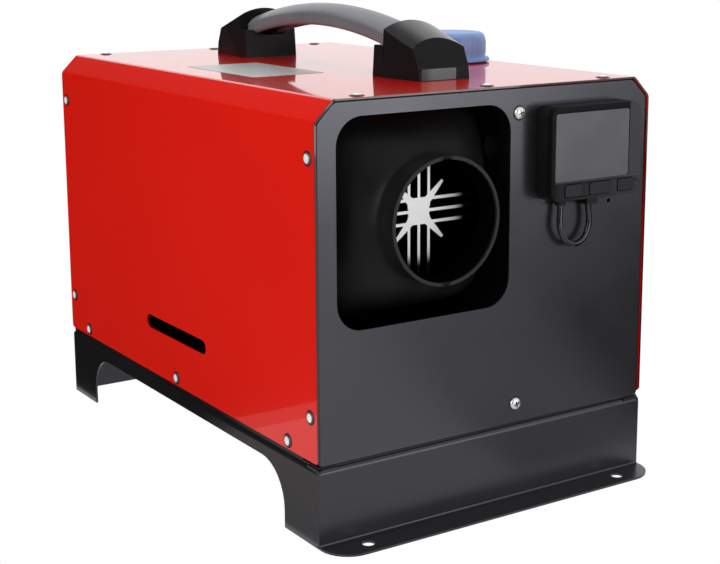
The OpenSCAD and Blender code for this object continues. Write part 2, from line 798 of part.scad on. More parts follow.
module dome_solid(inset) {
    for (i = [0 : 2]) hull() {
        dome_slice(i, inset);
        dome_slice(i + 1, inset);
    }
}

module outlet_hood() {
    wall = 2;
    color(BLACK) at_core() difference() {
        union() {
            rod_y(spigot_r, rim_y, front_y - 3.9);
            // Bead that keeps the duct's clamp on
            turn_y() polygon([[spigot_r - 1, rim_y], [spigot_r + 1.2, rim_y], [spigot_r + 1.2, rim_y + 3],
                              [spigot_r, rim_y + 5], [spigot_r - 1, rim_y + 5]]);
            dome_solid(0);
            extrude_y(hood_y - 0.01, shell_y0) core_square(0);
            extrude_y(shell_y0 - 1, shell_y0 + plug_l) core_square(core_t + plug_gap);
        }
        rod_y(spigot_r - spigot_t, rim_y - 1, front_y - 3);
        dome_solid(wall);
        extrude_y(hood_y - 0.1, shell_y0 + plug_l + 1) core_square(core_t + plug_gap + plug_t);
        // Two notches in the rim that locate the duct adapter
        for (s = [-1, 1]) translate([0, 0, s * spigot_r]) rod_y(1.6, rim_y - 1, rim_y + 2);
    }
}

// Half of the casing: s = 1 above the heater's axis, s = -1 below it
module half_casing(s) {
    difference() {
        extrude_y(shell_y0, shell_y1) difference() {
            core_square(0);
            core_square(core_t);
            translate([0, -s * core_w]) square([2 * core_w, 2 * core_w], center = true);
        }
        // Cable entry on the joint of the two halves
        translate([0, harness_y, 0]) rod_x(harness_r + 0.5, half - 5, half + 5);
    }
    // Ribs along the outside edge of the joint carry its clips
    for (y = [shell_y0 + 40 : 80 : shell_y1 - 20])
        translate([-half + core_t, y, s > 0 ? 0 : -9]) cube([2, 14, 9]);
}

module heater_shell_upper() {
    color(BLACK) at_core() half_casing(1);
}

module heater_shell_lower() {
    color(BLACK) difference() {
        at_core() half_casing(-1);
        // Window for the exchanger's pad, holes for the air stub and the fuel pipe
        block([core_x - pad_w / 2 - 0.5, pad_y0 - 0.5, core_z - core_w],
              [core_x + pad_w / 2 + 0.5, pad_y1 + 0.5, core_z - half + 5]);
        translate([stub_x, air_y, core_z]) rod_z(air_d / 2 + 1, -core_w, -half + 5);
        translate([fuel_x, fuel_y, core_z]) rod_z(5, -core_w, -half + 5);
    }
}

shroud_wall = 6;                                 // from the fan's shroud to the outside of the casing
shroud_r = half - shroud_wall;

module inlet_cowl() {
    plate_y = shell_y1;
    ring = 2;
    color(BLACK) at_core() {
        difference() {
            extrude_y(plate_y, cowl_y1) core_square(0);
            extrude_y(plate_y + ring, cowl_y1 - 3) core_square(core_t);
            rod_y(shroud_r, plate_y - 1, plate_y + ring + 1);
            // Openings of the grille: rings cut into sectors by the spokes
            difference() {
                rod_y(shroud_r - 5, cowl_y1 - 4, cowl_y1 + 1);
                for (r = [11 : 10 : shroud_r - 8]) tube_y(r + ring, r, cowl_y1 - 5, cowl_y1 + 2);
                rod_y(9, cowl_y1 - 5, cowl_y1 + 2);
                for (a = [0 : 45 : 179]) rotate([0, a, 0])
                    block([-shroud_r, cowl_y1 - 5, -ring / 2], [shroud_r, cowl_y1 + 2, ring / 2]);
            }
        }
        // Shroud round the fan, reaching into the casing
        tube_y(shroud_r + ring, shroud_r, fan_y0 - 4, plate_y + ring);
    }
}

// ---------------------------------------------------------------- heat exchanger and burner

fin_r = half - core_t - 3;                       // reach of the fins
fin_t = 2.3;
fin_pitch = 7.4;
star_lift = 1.8;                                 // the star's middle above the heater's axis
hub_size = [15.5, 17];
arm_l = 25.5;                                    // from the star's middle to an arm's tip
arm_root = 3.5;                                  // half widths of an arm
arm_tip = 1.7;
stub_x = core_x - 14;
exhaust_y = exch_y1 - 28;
air_y = gasket_y + 29;
fuel_x = core_x + 24;
fuel_y = gasket_y + 7;
pad_w = 76;
pad_y0 = exch_y1 - 64;
pad_y1 = exch_y1 - 6;
pad_z = core_z - half - 2;
stub_end = core_z - half - 30;                   // lower end of the exhaust and air stubs
stud_r = 3;
stud_places = [for (x = [-1, 1], y = [pad_y0 + 8, pad_y1 - 6]) [core_x + x * (pad_w / 2 - 8), y]];

// Count fins on each of the four sides, from r0 out; the level ones are set about the star's middle
module fin_rows(count, r0) {
    for (a = [0 : 90 : 270], k = [-(count - 1) / 2 : (count - 1) / 2]) rotate(a)
        translate([k * fin_pitch + star_lift * sin(a) - fin_t / 2, r0]) square([fin_t, fin_r - r0]);
}

// The star that shows through the outlet: hub, tapered arms and three fins each way
module star_section() {
    fin_rows(3, 4);
    translate([0, star_lift]) {
        square(hub_size, center = true);
        for (a = [45 : 90 : 315]) rotate(a)
            polygon([[0, -arm_root], [14, -arm_root + 0.3], [arm_l, -arm_tip],
                     [arm_l, arm_tip], [14, arm_root - 0.3], [0, arm_root]]);
    }
}

// Fins along the cup: seven on each side and a pair at each corner
module cup_section() {
    fin_rows(7, cup_r - 12);
    for (a = [45 : 90 : 315], s = [-1, 1]) rotate(a + 7 * s)
        translate([cup_r - cup_t, -fin_t / 2]) square([fin_r - cup_r + 2 * cup_t, fin_t]);
}

module heat_exchanger() {
    fin_y1 = exch_y1 - 24;
    flange_r = 46;
    color(ALU) difference() {
        union() {
            at_core() intersection() {
                union() {
                    extrude_y(exch_y0, dome_y + 6) star_section();
                    extrude_y(dome_y + 8, fin_y1) cup_section();
                }
                // The fins' tips follow the inside of the outlet hood
                turn_y() polygon([[0, exch_y0 - 1], [spigot_r + 2, exch_y0 - 1], [spigot_r + 2, exch_y0],
                                  [half, hood_y + 4], [1.5 * half, hood_y + 5],
                                  [1.5 * half, fin_y1 + 1], [0, fin_y1 + 1]]);
            }
            at_core() {
                turn_y() polygon([[0, dome_y], [cup_r - 14, dome_y], [cup_r - 4, dome_y + 4],
                                  [cup_r, dome_y + 14], [cup_r, exch_y1], [0, exch_y1]]);
                rod_y(flange_r, exch_y1 - 8, exch_y1);
            }
            block([core_x - pad_w / 2, pad_y0, pad_z], [core_x + pad_w / 2, pad_y1, core_z - 30]);
            translate([stub_x, exhaust_y, 0]) rod_z(exhaust_d / 2, stub_end, core_z - 30);
        }
        at_core() {
            turn_y() polygon([[0, dome_y + cup_t], [cup_r - 16, dome_y + cup_t],
                              [cup_r - cup_t, dome_y + 16], [cup_r - cup_t, exch_y1 + 1], [0, exch_y1 + 1]]);
            rod_y(cup_r, exch_y1 - 2, exch_y1 + 1);
        }
        translate([stub_x, exhaust_y, 0]) rod_z(exhaust_d / 2 - 2, stub_end - 1, core_z - 20);
        for (p = stud_places) translate([p[0], p[1], 0]) rod_z(stud_r + 0.1, pad_z - 1, pad_z + 12);
    }
}

burner_r = 27;

module burner_tube() {
    l = 90;
    color("#8d8479") at_core() difference() {
        union() {
            rod_y(burner_r, exch_y1 - l, exch_y1);
            rod_y(cup_r - slide_gap, exch_y1 - 2, exch_y1);
        }
        rod_y(burner_r - 1.5, exch_y1 - l - 1, exch_y1 - 3);
        rod_y(14, exch_y1 - 4, exch_y1 + 1);
        for (y = [exch_y1 - 70, exch_y1 - 48, exch_y1 - 26], a = [0 : 45 : 135])
            rotate([0, a, 0]) translate([0, y, 0]) rod_z(2.5, -burner_r - 1, burner_r + 1);
    }
}

module burner_gasket() {
    color("#6f6a60") at_core() tube_y(46, 26, exch_y1, gasket_y);
}

plug_r = 4;
plug_a = 45;                                     // lean of the glow plug towards the right

module glow_plug() {
    reach = 17;
    hex_h = 7;
    seat = housing_r + 2;
    color(ZINC) translate([core_x, fuel_y, core_z]) rotate([0, plug_a, 0]) {
        rod_z(plug_r, reach, housing_r);
        rod_z(7, housing_r, seat);
        translate([0, 0, seat]) cylinder(h = hex_h, r = 6, $fn = 6);
        rod_z(2.5, seat + hex_h, seat + hex_h + 9);
    }
}

housing_r = 50;
chamber_r = 40;

module blower_housing() {
    wall = 14;
    color(ALU) difference() {
        union() {
            at_core() {
                rod_y(46, gasket_y, gasket_y + wall);
                rod_y(housing_r, gasket_y + wall - 4, housing_y1);
            }
            translate([stub_x, air_y, 0]) rod_z(air_d / 2, stub_end, core_z - 30);
            translate([fuel_x, fuel_y, 0]) rod_z(2.5, stub_end + 12, core_z - 30);
        }
        at_core() {
            rod_y(14, gasket_y - 1, gasket_y + wall + 1);
            rod_y(chamber_r, gasket_y + wall, housing_y1 + 1);
        }
        translate([stub_x, air_y, 0]) rod_z(air_d / 2 - 2, stub_end - 1, core_z - 32);
        translate([core_x, fuel_y, core_z]) rotate([0, plug_a, 0]) rod_z(plug_r + 0.1, 10, 60);
    }
}

// ---------------------------------------------------------------- motor, rotor and electronics

motor_r = 25;
shaft_r = shaft_d / 2;
shaft_y0 = housing_y1 - 24;
shaft_y1 = fan_y1 - 2;

module blower_motor() {
    color("#77777b") at_core() difference() {
        union() {
            rod_y(chamber_r + 6, motor_y0, motor_y0 + 4);
            rod_y(motor_r, motor_y0, motor_y1 - 3);
            rod_y(motor_r - 3, motor_y0, motor_y1);
            rod_y(8, motor_y0, motor_y1 + 3);
        }
        rod_y(shaft_r + run_gap, motor_y0 - 1, motor_y1 + 4);
        // Cooling slots in the can
        for (a = [0 : 60 : 300]) rotate([0, a + 30, 0])
            block([motor_r - 2, motor_y0 + 14, -3], [motor_r + 1, motor_y0 + 40, 3]);
    }
}

module rotor_shaft() {
    color(ZINC) at_core() rod_y(shaft_r, shaft_y0, shaft_y1);
}

module combustion_impeller() {
    vanes = 12;
    tip = chamber_r - 3;
    y1 = housing_y1 - 4;
    color(ALU) at_core() difference() {
        union() {
            rod_y(tip, y1 - 2, y1);
            rod_y(8, y1 - 18, y1);
            // Backward-curved vanes, each a slice of a ring
            intersection() {
                tube_y(tip, 12, y1 - 16, y1 - 1);
                for (i = [0 : vanes - 1]) rotate([0, i * 360 / vanes, 0])
                    translate([tip / 2, 0, 14]) tube_y(22, 20.6, y1 - 16, y1 - 1);
            }
        }
        rod_y(shaft_r + 0.02, y1 - 20, y1 + 1);
    }
}

// Blade of the heating fan, drawn flat and twisted as it rises
blade_chord = 19;
blade_twist = 34;
blade_root = 17;

module fan_blade(tip) {
    pts = 6;
    sag = 3;
    arc = [for (i = [0 : pts]) let (t = i / pts) [(t - 0.5) * blade_chord, 4 * sag * t * (1 - t)]];
    outline = concat(arc, [for (i = [pts : -1 : 0]) arc[i] + [0, -1.8]]);
    translate([blade_root, 0, 0]) rotate([0, 90, 0])
        linear_extrude(height = tip - blade_root, twist = -blade_twist, slices = 5, $fn = 0)
            rotate(52) polygon(outline);
}

module heating_fan() {
    tip = shroud_r - 1.5;
    mid = (fan_y0 + fan_y1) / 2;
    color("#2f2f33") at_core() difference() {
        union() {
            turn_y() polygon([[0, fan_y0], [20, fan_y0], [20, fan_y1 - 10], [14, fan_y1 - 2],
                              [6, fan_y1], [0, fan_y1]]);
            intersection() {
                for (i = [0 : fan_blades - 1]) rotate([0, i * 360 / fan_blades, 0])
                    translate([0, mid, 0]) fan_blade(tip + 3);
                rod_y(tip, fan_y0, fan_y1);
            }
        }
        rod_y(shaft_r + 0.02, fan_y0 - 1, shaft_y1);
        // Hollow front of the hub
        tube_y(17, 8, fan_y0 - 1, fan_y0 + 18);
    }
}

module control_unit() {
    w = 62;
    y0 = motor_y0 + 8;
    y1 = motor_y1 - 4;
    z0 = core_z + motor_r + seat_gap;
    z1 = core_z + half - core_t - 4;
    color("#33363a") {
        translate([core_x, 0, (z0 + z1) / 2]) extrude_y(y0, y1) rounded_rect(w, z1 - z0, 4);
        // Plug sockets along the right side
        for (i = [0 : 2])
            block([core_x + w / 2 - 1, y0 + 4 + i * 13, z0 + 5],
                  [core_x + w / 2 + 5, y0 + 13 + i * 13, z0 + 15]);
    }
}

module overheat_sensor() {
    y = exch_y1 - 15;
    color("#b9a76a") translate([core_x, y, core_z + cup_r]) {
        rod_z(4.5, 0.1, 5);
        block([-3, -1, 4], [3, 1, 9]);
    }
}

harness_y = motor_y0 + 30;
harness_r = 3;

// ---------------------------------------------------------------- mounting, exhaust and air

gasket_t = 2;
plate_top = pad_z - gasket_t;
bracket_t = 2;
bracket_w = 80;
bracket_y0 = pad_y0 - 10;
bracket_y1 = air_y + air_d / 2 + 10;

module at_studs() {
    for (p = stud_places) translate([p[0], p[1], 0]) children();
}

module mount_gasket() {
    color("#8a8578") difference() {
        block([core_x - pad_w / 2, pad_y0, plate_top], [core_x + pad_w / 2, pad_y1, pad_z]);
        translate([stub_x, exhaust_y, 0]) rod_z(exhaust_d / 2 + seat_gap, plate_top - 1, pad_z + 1);
        at_studs() rod_z(stud_r + 0.3, plate_top - 1, pad_z + 1);
    }
}

module mount_studs() {
    nut_h = 5;
    color(ZINC) at_studs() {
        rod_z(stud_r, plate_top - bracket_t - nut_h - 3, pad_z + 11);
        translate([0, 0, plate_top - bracket_t - nut_h]) cylinder(h = nut_h, r = 1.9 * stud_r, $fn = 6);
    }
}

module heater_bracket() {
    foot = 14;
    plate_z = plate_top - bracket_t;
    x0 = core_x - bracket_w / 2;
    x1 = core_x + bracket_w / 2;
    color(BLACK) difference() {
        union() {
            block([x0, bracket_y0, plate_z], [x1, bracket_y1, plate_top]);
            block([x0, bracket_y0, floor_z], [x1, bracket_y0 + bracket_t, plate_top]);
            block([x0, bracket_y1 - bracket_t, floor_z], [x1, bracket_y1, plate_top]);
            block([x0, bracket_y0 - foot, floor_z], [x1, bracket_y0 + 1, floor_z + bracket_t]);
            block([x0, bracket_y1 - 1, floor_z], [x1, bracket_y1 + foot, floor_z + bracket_t]);
        }
        translate([stub_x, exhaust_y, 0]) rod_z(exhaust_d / 2 + 0.8, plate_z - 1, plate_top + 1);
        translate([stub_x, air_y, 0]) rod_z(air_d / 2 + 0.8, plate_z - 1, plate_top + 1);
        translate([fuel_x, fuel_y, 0]) rod_z(5, plate_z - 1, plate_top + 1);
        translate([fuel_x, 0, feed_z]) rod_y(8, bracket_y1 - 5, bracket_y1 + 1);
        at_studs() rod_z(stud_r + 0.3, plate_z - 1, plate_top + 1);
        // Lightening window in the front leg
        translate([core_x, 0, (floor_z + plate_z) / 2])
            extrude_y(bracket_y0 - 1, bracket_y0 + 5) rounded_rect(bracket_w - 30, 40, 8);
    }
}

pipe_end = 24;                                   // height of the pipes' lower ends above the floor
cuff_l = 20;
pipe_top = stub_end + 12;

// Bellows pipe: a cuff over the stub, folds, and a plain end of radius r
module bellows_pipe(r, fold) {
    wall = 1.5;
    upper = r + seat_gap;
    fold_top = pipe_top - cuff_l;
    fold_end = pipe_end + cuff_l + 4;
    folds = floor((fold_top - fold_end) / fold);
    step = (fold_top - fold_end) / folds;
    rotate_extrude() polygon(concat(
        [[upper, pipe_top], [upper + wall, pipe_top], [upper + wall, fold_top]],
        [for (i = [0 : folds - 1], p = [[1.6, 0.25], [1.6, 0.75], [0.2, 1]])
            [r + wall + p[0], fold_top - (i + p[1]) * step]],
        [[r, fold_end - 3], [r, pipe_end], [r - wall, pipe_end], [r - wall, fold_end],
         [r - 0.5, fold_end + 2], [upper - 0.1, fold_top], [upper, fold_top + 1]]));
}

module exhaust_pipe() {
    color("#a9a7a2") translate([stub_x, exhaust_y, 0]) bellows_pipe(exhaust_d / 2, 4.5);
}

module air_pipe() {
    color(RUBBER) translate([stub_x, air_y, 0]) bellows_pipe(air_d / 2, 6);
}

module pipe_clamp(r) {
    band = 1;
    z0 = stub_end + 2;
    difference() {
        union() {
            rod_z(r + band, z0, z0 + 8);
            block([r - 1, -4, z0], [r + 7, 4, z0 + 8]);
        }
        rod_z(r, z0 - 1, z0 + 9);
        block([0, -0.8, z0 - 1], [r + 8, 0.8, z0 + 9]);
    }
    translate([0, 0, z0 + 4]) rotate([90, 0, 0]) translate([r + 4.5, 0, -6]) cylinder(h = 12, r = 1.5);
}

module pipe_clamps() {
    reach = seat_gap + 1.5 + 0.05;
    color(ZINC) {
        translate([stub_x, exhaust_y, 0]) pipe_clamp(exhaust_d / 2 + reach);
        translate([stub_x, air_y, 0]) pipe_clamp(air_d / 2 + reach);
    }
}

// ---------------------------------------------------------------- fuel

tank_back = 47;                                  // from the back of the case
tank_t = 3;
collar_r = neck_r + 3;                           // foot of the tank's neck
tank_y0 = back_y - tank_back - tank_l;
tank_top = case_h - tank_room;
tank_h = tank_top - floor_z;
tank_port_y = tank_y0 + 20;
tank_port_z = floor_z + 16;
tank_port_r = 4;
cap_top_t = 3;
cap_gasket_t = 2;
neck_top = case_h + cap_h - cap_top_t - cap_gasket_t;

module tank_body(inset) {
    x = tank_x0 + tank_w / 2;
    y = tank_y0 + tank_l / 2;
    z = floor_z + tank_h / 2;
    w = tank_w - 2 * inset;
    l = tank_l - 2 * inset;
    h = tank_h - 2 * inset;
    r = 12 - inset;
    intersection() {
        translate([x, 0, z]) extrude_y(y - l / 2, y + l / 2) rounded_rect(w, h, r);
        translate([0, y, z]) extrude_x(x - w / 2, x + w / 2) rounded_rect(l, h, r);
        translate([x, y, 0]) extrude_z(z - h / 2, z + h / 2) rounded_rect(w, l, r);
    }
}

module fuel_tank() {
    color("#e8e6df") difference() {
        union() {
            tank_body(0);
            translate([filler_x, filler_y, 0]) {
                rod_z(neck_r, tank_top - 2, neck_top);
                rod_z(collar_r, tank_top - 2, tank_top + 4);
            }
        }
        tank_body(tank_t);
        translate([filler_x, filler_y, 0]) rod_z(neck_r - neck_t, tank_top - 10, neck_top + 1);
        translate([0, tank_port_y, tank_port_z]) rod_x(tank_port_r + hole_gap, tank_x0 - 1, tank_x0 + 5);
    }
}

cap_r = cap_d / 2;
cap_rim_r = cap_r + 3.1;
cap_z0 = case_h + 1.1;                           // lower face of the cap's rim
cap_z1 = case_h + cap_h;
cap_ribs = 40;

module fuel_cap() {
    round = 4;
    color("#5d74ad") translate([filler_x, filler_y, 0]) difference() {
        union() {
            rod_z(cap_r, cap_z0, cap_z1 - round);
            rod_z(cap_r - round, cap_z0, cap_z1);
            translate([0, 0, cap_z1 - round]) rotate_extrude() translate([cap_r - round, 0]) circle(round);
            rod_z(cap_rim_r, cap_z0, cap_z0 + 2.4);
            // Grip ribs
            for (i = [0 : cap_ribs - 1]) rotate([0, 0, i * 360 / cap_ribs])
                translate([cap_r, 0, 0]) rod_z(0.5, cap_z0 + 1, cap_z1 - round);
        }
        rod_z(neck_r + turn_gap, cap_z0 - 1, cap_z1 - cap_top_t);
    }
}

module cap_gasket() {
    color(RUBBER) translate([filler_x, filler_y, 0])
        tube_z(neck_r - 0.2, neck_r - neck_t - 1, neck_top + 0.05, neck_top + cap_gasket_t - 0.05);
}

module neck_grommet() {
    lip = 1.6;
    inner = neck_r + 0.2;
    color(RUBBER) translate([filler_x, filler_y, 0]) {
        tube_z(neck_hole_r, inner, top_in - 1, case_h + 0.7);
        tube_z(neck_hole_r + lip, inner, case_h, case_h + 0.7);
        tube_z(neck_hole_r + lip, inner, top_in - 1.5, top_in);
    }
}

strap_w = 16;
strap_x = (tank_x0 + filler_x - collar_r - strap_w) / 2;   // midway between the tank's side and its neck

module tank_strap() {
    t = 1;
    gap = seat_gap;
    foot = 12;
    y0 = tank_y0 - gap - t;
    y1 = tank_y0 + tank_l + gap + t;
    z1 = tank_top + gap + t;
    color(ZINC) {
        block([strap_x, y0, z1 - t], [strap_x + strap_w, y1, z1]);
        block([strap_x, y0, floor_z], [strap_x + strap_w, y0 + t, z1]);
        block([strap_x, y1 - t, floor_z], [strap_x + strap_w, y1, z1]);
        block([strap_x, y0 - foot, floor_z], [strap_x + strap_w, y0 + t, floor_z + t]);
        block([strap_x, y1 - t, floor_z], [strap_x + strap_w, y1 + foot, floor_z + t]);
    }
}

line_r = 2.5;
barb_end = wall_x - 14;                          // left end of the tank's outlet
line_beside = 32;                                // the pump and filter's line to the partition
filter_x = wall_x - line_beside;
filter_z = tank_port_z;
filter_y0 = tank_port_y + 20;
filter_l = 68;
pump_z = floor_z + 24;
line_gap = 26;                                   // hose between the filter and the pump
pump_y0 = filter_y0 + filter_l + line_gap;
pump_l = 102;
feed_z = plate_top - 22.3;                       // the feed line passes under the bracket's plate

module tank_outlet() {
    color("#b08d3f") translate([0, tank_port_y, tank_port_z]) difference() {
        union() {
            rod_x(tank_port_r, tank_x0 - 1, tank_x0 + tank_t + 4);
            rod_x(7, tank_x0 - 6, tank_x0);
            rod_x(line_r, barb_end, tank_x0);
        }
        rod_x(1.5, barb_end - 1, tank_x0 + tank_t + 5);
    }
}

module fuel_filter() {
    barb = 12;
    y1 = filter_y0 + filter_l;
    color("#cfd3cf") translate([filter_x, 0, filter_z]) {
        rod_y(line_r, filter_y0, y1);
        rod_y(12, filter_y0 + barb, y1 - barb);
        for (y = [filter_y0 + barb, y1 - barb - 5]) rod_y(13, y, y + 5);
    }
}

module fuel_pump() {
    barb = 12;
    y1 = pump_y0 + pump_l;
    color("#5a5a5e") translate([filter_x, 0, pump_z]) {
        rod_y(line_r, pump_y0, y1);
        rod_y(pump_d / 2, pump_y0 + barb + 8, y1 - barb - 8);
        rod_y(pump_d / 2 - 5, pump_y0 + barb, y1 - barb);
        rod_y(pump_d / 2 - 9, pump_y0 + barb - 4, y1 - barb + 4);
    }
}

module pump_clamp() {
    y0 = pump_y0 + pump_l / 2 - 9;
    r = pump_d / 2 + 0.1;
    color(RUBBER) difference() {
        union() {
            translate([filter_x, 0, pump_z]) rod_y(r + 3, y0, y0 + 18);
            block([filter_x - 9, y0, floor_z], [filter_x + 9, y0 + 18, pump_z]);
        }
        translate([filter_x, 0, pump_z]) rod_y(r, y0 - 1, y0 + 19);
    }
}

module fuel_line_suction() {
    a = [barb_end, tank_port_y, tank_port_z];
    b = [filter_x, filter_y0, filter_z];
    c = [filter_x, filter_y0 + filter_l, filter_z];
    d = [filter_x, pump_y0, pump_z];
    color("#3a3a3a") {
        swept_tube([a, a + [-6, 0.6, 0], a + [-13, 4, 0], b + [0.4, -7, 0], b],
                   line_r, [-1, 0, 0], [0, 1, 0], [0, 0, 1]);
        swept_tube([c, c + [0, 6, 0.6], (c + d) / 2, d + [0, -6, -0.6], d],
                   line_r, [0, 1, 0], [0, 1, 0], [1, 0, 0]);
    }
}

module fuel_line_feed() {
    a = [filter_x, pump_y0 + pump_l, pump_z];
    b = [fuel_x, fuel_y, stub_end + 12];
    h = [fuel_x, bracket_y1 - 1, feed_z];
    color("#3a3a3a") swept_tube(
        [a, a + [0, 8, 0], a + [-5, 18, 6], a + [-13, 20, 16], h + [0.5, 46, -6], h + [0, 24, 0], h,
         h + [0, -20, 0], b + [0, 14, -10], b + [0, 2, -8], b],
        line_r, [0, 1, 0], [0, 0, 1], [1, 0, 0]);
}

module power_inlet() {
    y1 = back_y + inlet_out;
    body = 16;
    color(RUBBER) translate([inlet_x, 0, inlet_z]) difference() {
        union() {
            rod_y(inlet_r, rear_y - body, y1);
            rod_y(inlet_r + 3.5, rear_y, rear_y + 2.5);
            rod_y(inlet_r + 3, rear_y - sheet_t - 4, rear_y - sheet_t);
        }
        rod_y(inlet_r - 2, y1 - 10, y1 + 1);
    }
    // The two contacts
    color("#b08d3f") for (s = [-1, 1]) translate([inlet_x + s * 3, 0, inlet_z]) rod_y(1.2, y1 - 10.1, y1 - 2);
}

case_cover();
front_panel();
rear_panel();
partition();
base_stand();
floor_plate();
cover_rivets();
panel_screws();
handle_grip();
handle_foot_front();
handle_foot_rear();
handle_bolts();
controller_cradle();
controller_back();
controller_bezel();
controller_screen();
controller_board();
button_left();
button_middle();
button_right();
cable_relief();
cable_grommet();
controller_cable();
outlet_hood();
heater_shell_upper();
heater_shell_lower();
inlet_cowl();
heat_exchanger();
burner_tube();
burner_gasket();
glow_plug();
blower_housing();
blower_motor();
rotor_shaft();
combustion_impeller();
heating_fan();
control_unit();
overheat_sensor();
mount_gasket();
mount_studs();
heater_bracket();
exhaust_pipe();
air_pipe();
pipe_clamps();
fuel_tank();
fuel_cap();
cap_gasket();
neck_grommet();
tank_strap();
tank_outlet();
fuel_filter();
fuel_pump();
pump_clamp();
fuel_line_suction();
fuel_line_feed();
power_inlet();
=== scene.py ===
import math
import bmesh
import bpy
from mathutils import Matrix, Vector


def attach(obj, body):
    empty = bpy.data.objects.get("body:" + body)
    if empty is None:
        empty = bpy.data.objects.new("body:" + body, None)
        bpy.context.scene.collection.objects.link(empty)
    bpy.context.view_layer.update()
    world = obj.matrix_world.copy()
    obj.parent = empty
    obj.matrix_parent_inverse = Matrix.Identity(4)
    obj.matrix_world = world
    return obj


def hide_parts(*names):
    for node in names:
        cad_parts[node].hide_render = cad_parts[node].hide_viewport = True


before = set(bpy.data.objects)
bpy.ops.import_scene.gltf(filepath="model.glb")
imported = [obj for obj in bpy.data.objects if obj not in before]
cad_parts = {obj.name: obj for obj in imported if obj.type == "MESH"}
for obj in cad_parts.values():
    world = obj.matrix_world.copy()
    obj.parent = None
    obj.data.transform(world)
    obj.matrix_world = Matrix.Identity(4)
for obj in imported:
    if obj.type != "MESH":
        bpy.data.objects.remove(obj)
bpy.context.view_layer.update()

# ---------------------------------------------------------------- camera
# A long studio lens on a full-frame back, a little above the case and in front of its left corner.
# The lens is shifted slightly, which frames the heater without tilting the camera further.

azimuth, elevation, roll = (math.radians(angle) for angle in (-33.60, 11.07, -0.15))
camera_at = Vector((-0.5594, -0.89805, 0.3675))
film_width, focal_length = 36, 72.95
lens_shift = (-0.0282, -0.0872)

lens_back = Vector((math.sin(azimuth) * math.cos(elevation), -math.cos(azimuth) * math.cos(elevation),
                    math.sin(elevation)))
lens_right = Vector((math.cos(azimuth), math.sin(azimuth), 0))
lens_up = lens_back.cross(lens_right)
facing = Matrix((lens_right, lens_up, lens_back)).transposed().to_4x4()
studio_camera = bpy.data.objects.new("studio_camera", bpy.data.cameras.new("studio_camera"))
bpy.context.scene.collection.objects.link(studio_camera)
studio_camera.matrix_world = Matrix.Translation(camera_at) @ facing @ Matrix.Rotation(roll, 4, "Z")
studio_camera.data.sensor_width = film_width
studio_camera.data.lens = focal_length
studio_camera.data.shift_x, studio_camera.data.shift_y = lens_shift
studio_camera.data.clip_end = 20
bpy.context.scene.camera = studio_camera

# ---------------------------------------------------------------- controller cable
# Thin four-core lead in a soft PVC sheath, moulded on the controller and looping once in front of
# the panel before a rubber boot takes it inside.


class Value:
    """A node's output that takes part in arithmetic: each operator adds a Math node."""

    def __init__(self, nodes, socket):
        self.nodes, self.socket = nodes, socket

    def maths(self, operation, *others):
        return self.nodes.node("ShaderNodeMath", {"operation": operation},
                               dict(enumerate((self, *others))))

    def __add__(self, other):
        return self.maths("ADD", other)

    def __sub__(self, other):
        return self.maths("SUBTRACT", other)

    def __rsub__(self, other):
        return self * -1.0 + other

    def __mul__(self, other):
        return self.maths("MULTIPLY", other)

    __radd__, __rmul__ = __add__, __mul__

    def held(self):
        """The same value, held between 0 and 1."""
        self.socket.node.use_clamp = True
        return self

    def step(self, low, high):
        """0 below low, 1 above high, and smooth between them."""
        return self.nodes.node("ShaderNodeMapRange", {"interpolation_type": "SMOOTHSTEP"},
                               {"Value": self, "From Min": low, "From Max": high})


class NodeTree:
    """A node tree, whose nodes are all made by one method."""

    def __init__(self, tree):
        self.tree = tree

    def feed(self, socket, value):
        if isinstance(value, Value):
            self.tree.links.new(value.socket, socket)
        elif socket.type == "RGBA":
            socket.default_value = (*value, 1)
        else:
            socket.default_value = value

    def node(self, kind, settings=None, inputs=None, output=0):
        made = self.tree.nodes.new(kind)
        for key, value in (settings or {}).items():
            setattr(made, key, value)
        for key, value in (inputs or {}).items():
            self.feed(made.inputs[key], value)
        return Value(self, made.outputs[output])


class Finish(NodeTree):
    """One material, with a Principled surface whose constants are set on its own sockets."""

    def __init__(self, name, colour, rough, **constants):
        self.material = bpy.data.materials.new(name)
        self.material.use_nodes = True
        super().__init__(self.material.node_tree)
        self.surface = self.tree.nodes["Principled BSDF"]
        self.material.diffuse_color = (*colour, 1)
        self.colour(colour)
        self.rough(rough)
        for word, value in constants.items():
            self.feed(self.surface.inputs[word.replace("_", " ").title().replace("Ior", "IOR")], value)

    def colour(self, value):
        self.feed(self.surface.inputs["Base Color"], value)

    def rough(self, value):
        self.feed(self.surface.inputs["Roughness"], value)

    def bump(self, height, strength, distance):
        self.feed(self.surface.inputs["Normal"], self.node(
            "ShaderNodeBump", None, {"Height": height, "Strength": strength, "Distance": distance}))

    def grain(self, scale, strength, distance):
        self.bump(self.noise(scale, 2.0), strength, distance)

    def mottle(self, cloud, dark, light, rough, span):
        """Drifts the colour from dark to light and the roughness over its span, both along a noise."""
        self.colour(self.blend(cloud.step(0.3, 0.7), dark, light))
        self.rough(cloud.step(0.25, 0.75) * span + rough)

    def place(self):
        return self.node("ShaderNodeTexCoord", output=3)

    def axes(self):
        """Where the surface lies along X, Y and Z, in millimetres."""
        at = self.node("ShaderNodeVectorMath", {"operation": "SCALE"},
                       {"Vector": self.place(), "Scale": 1000.0})
        split = self.node("ShaderNodeSeparateXYZ", None, {"Vector": at})
        return [Value(self, socket) for socket in split.socket.node.outputs]

    def noise(self, scale, detail=3.0, rough=0.55, stretch=None):
        at = self.place()
        if stretch:
            at = self.node("ShaderNodeMapping", None, {"Vector": at, "Scale": stretch})
        return self.node("ShaderNodeTexNoise", None,
                         {"Vector": at, "Scale": scale, "Detail": detail, "Roughness": rough})

    def blend(self, factor, low, high):
        return self.node("ShaderNodeMix", {"data_type": "RGBA"}, {0: factor, 6: low, 7: high}, output=2)


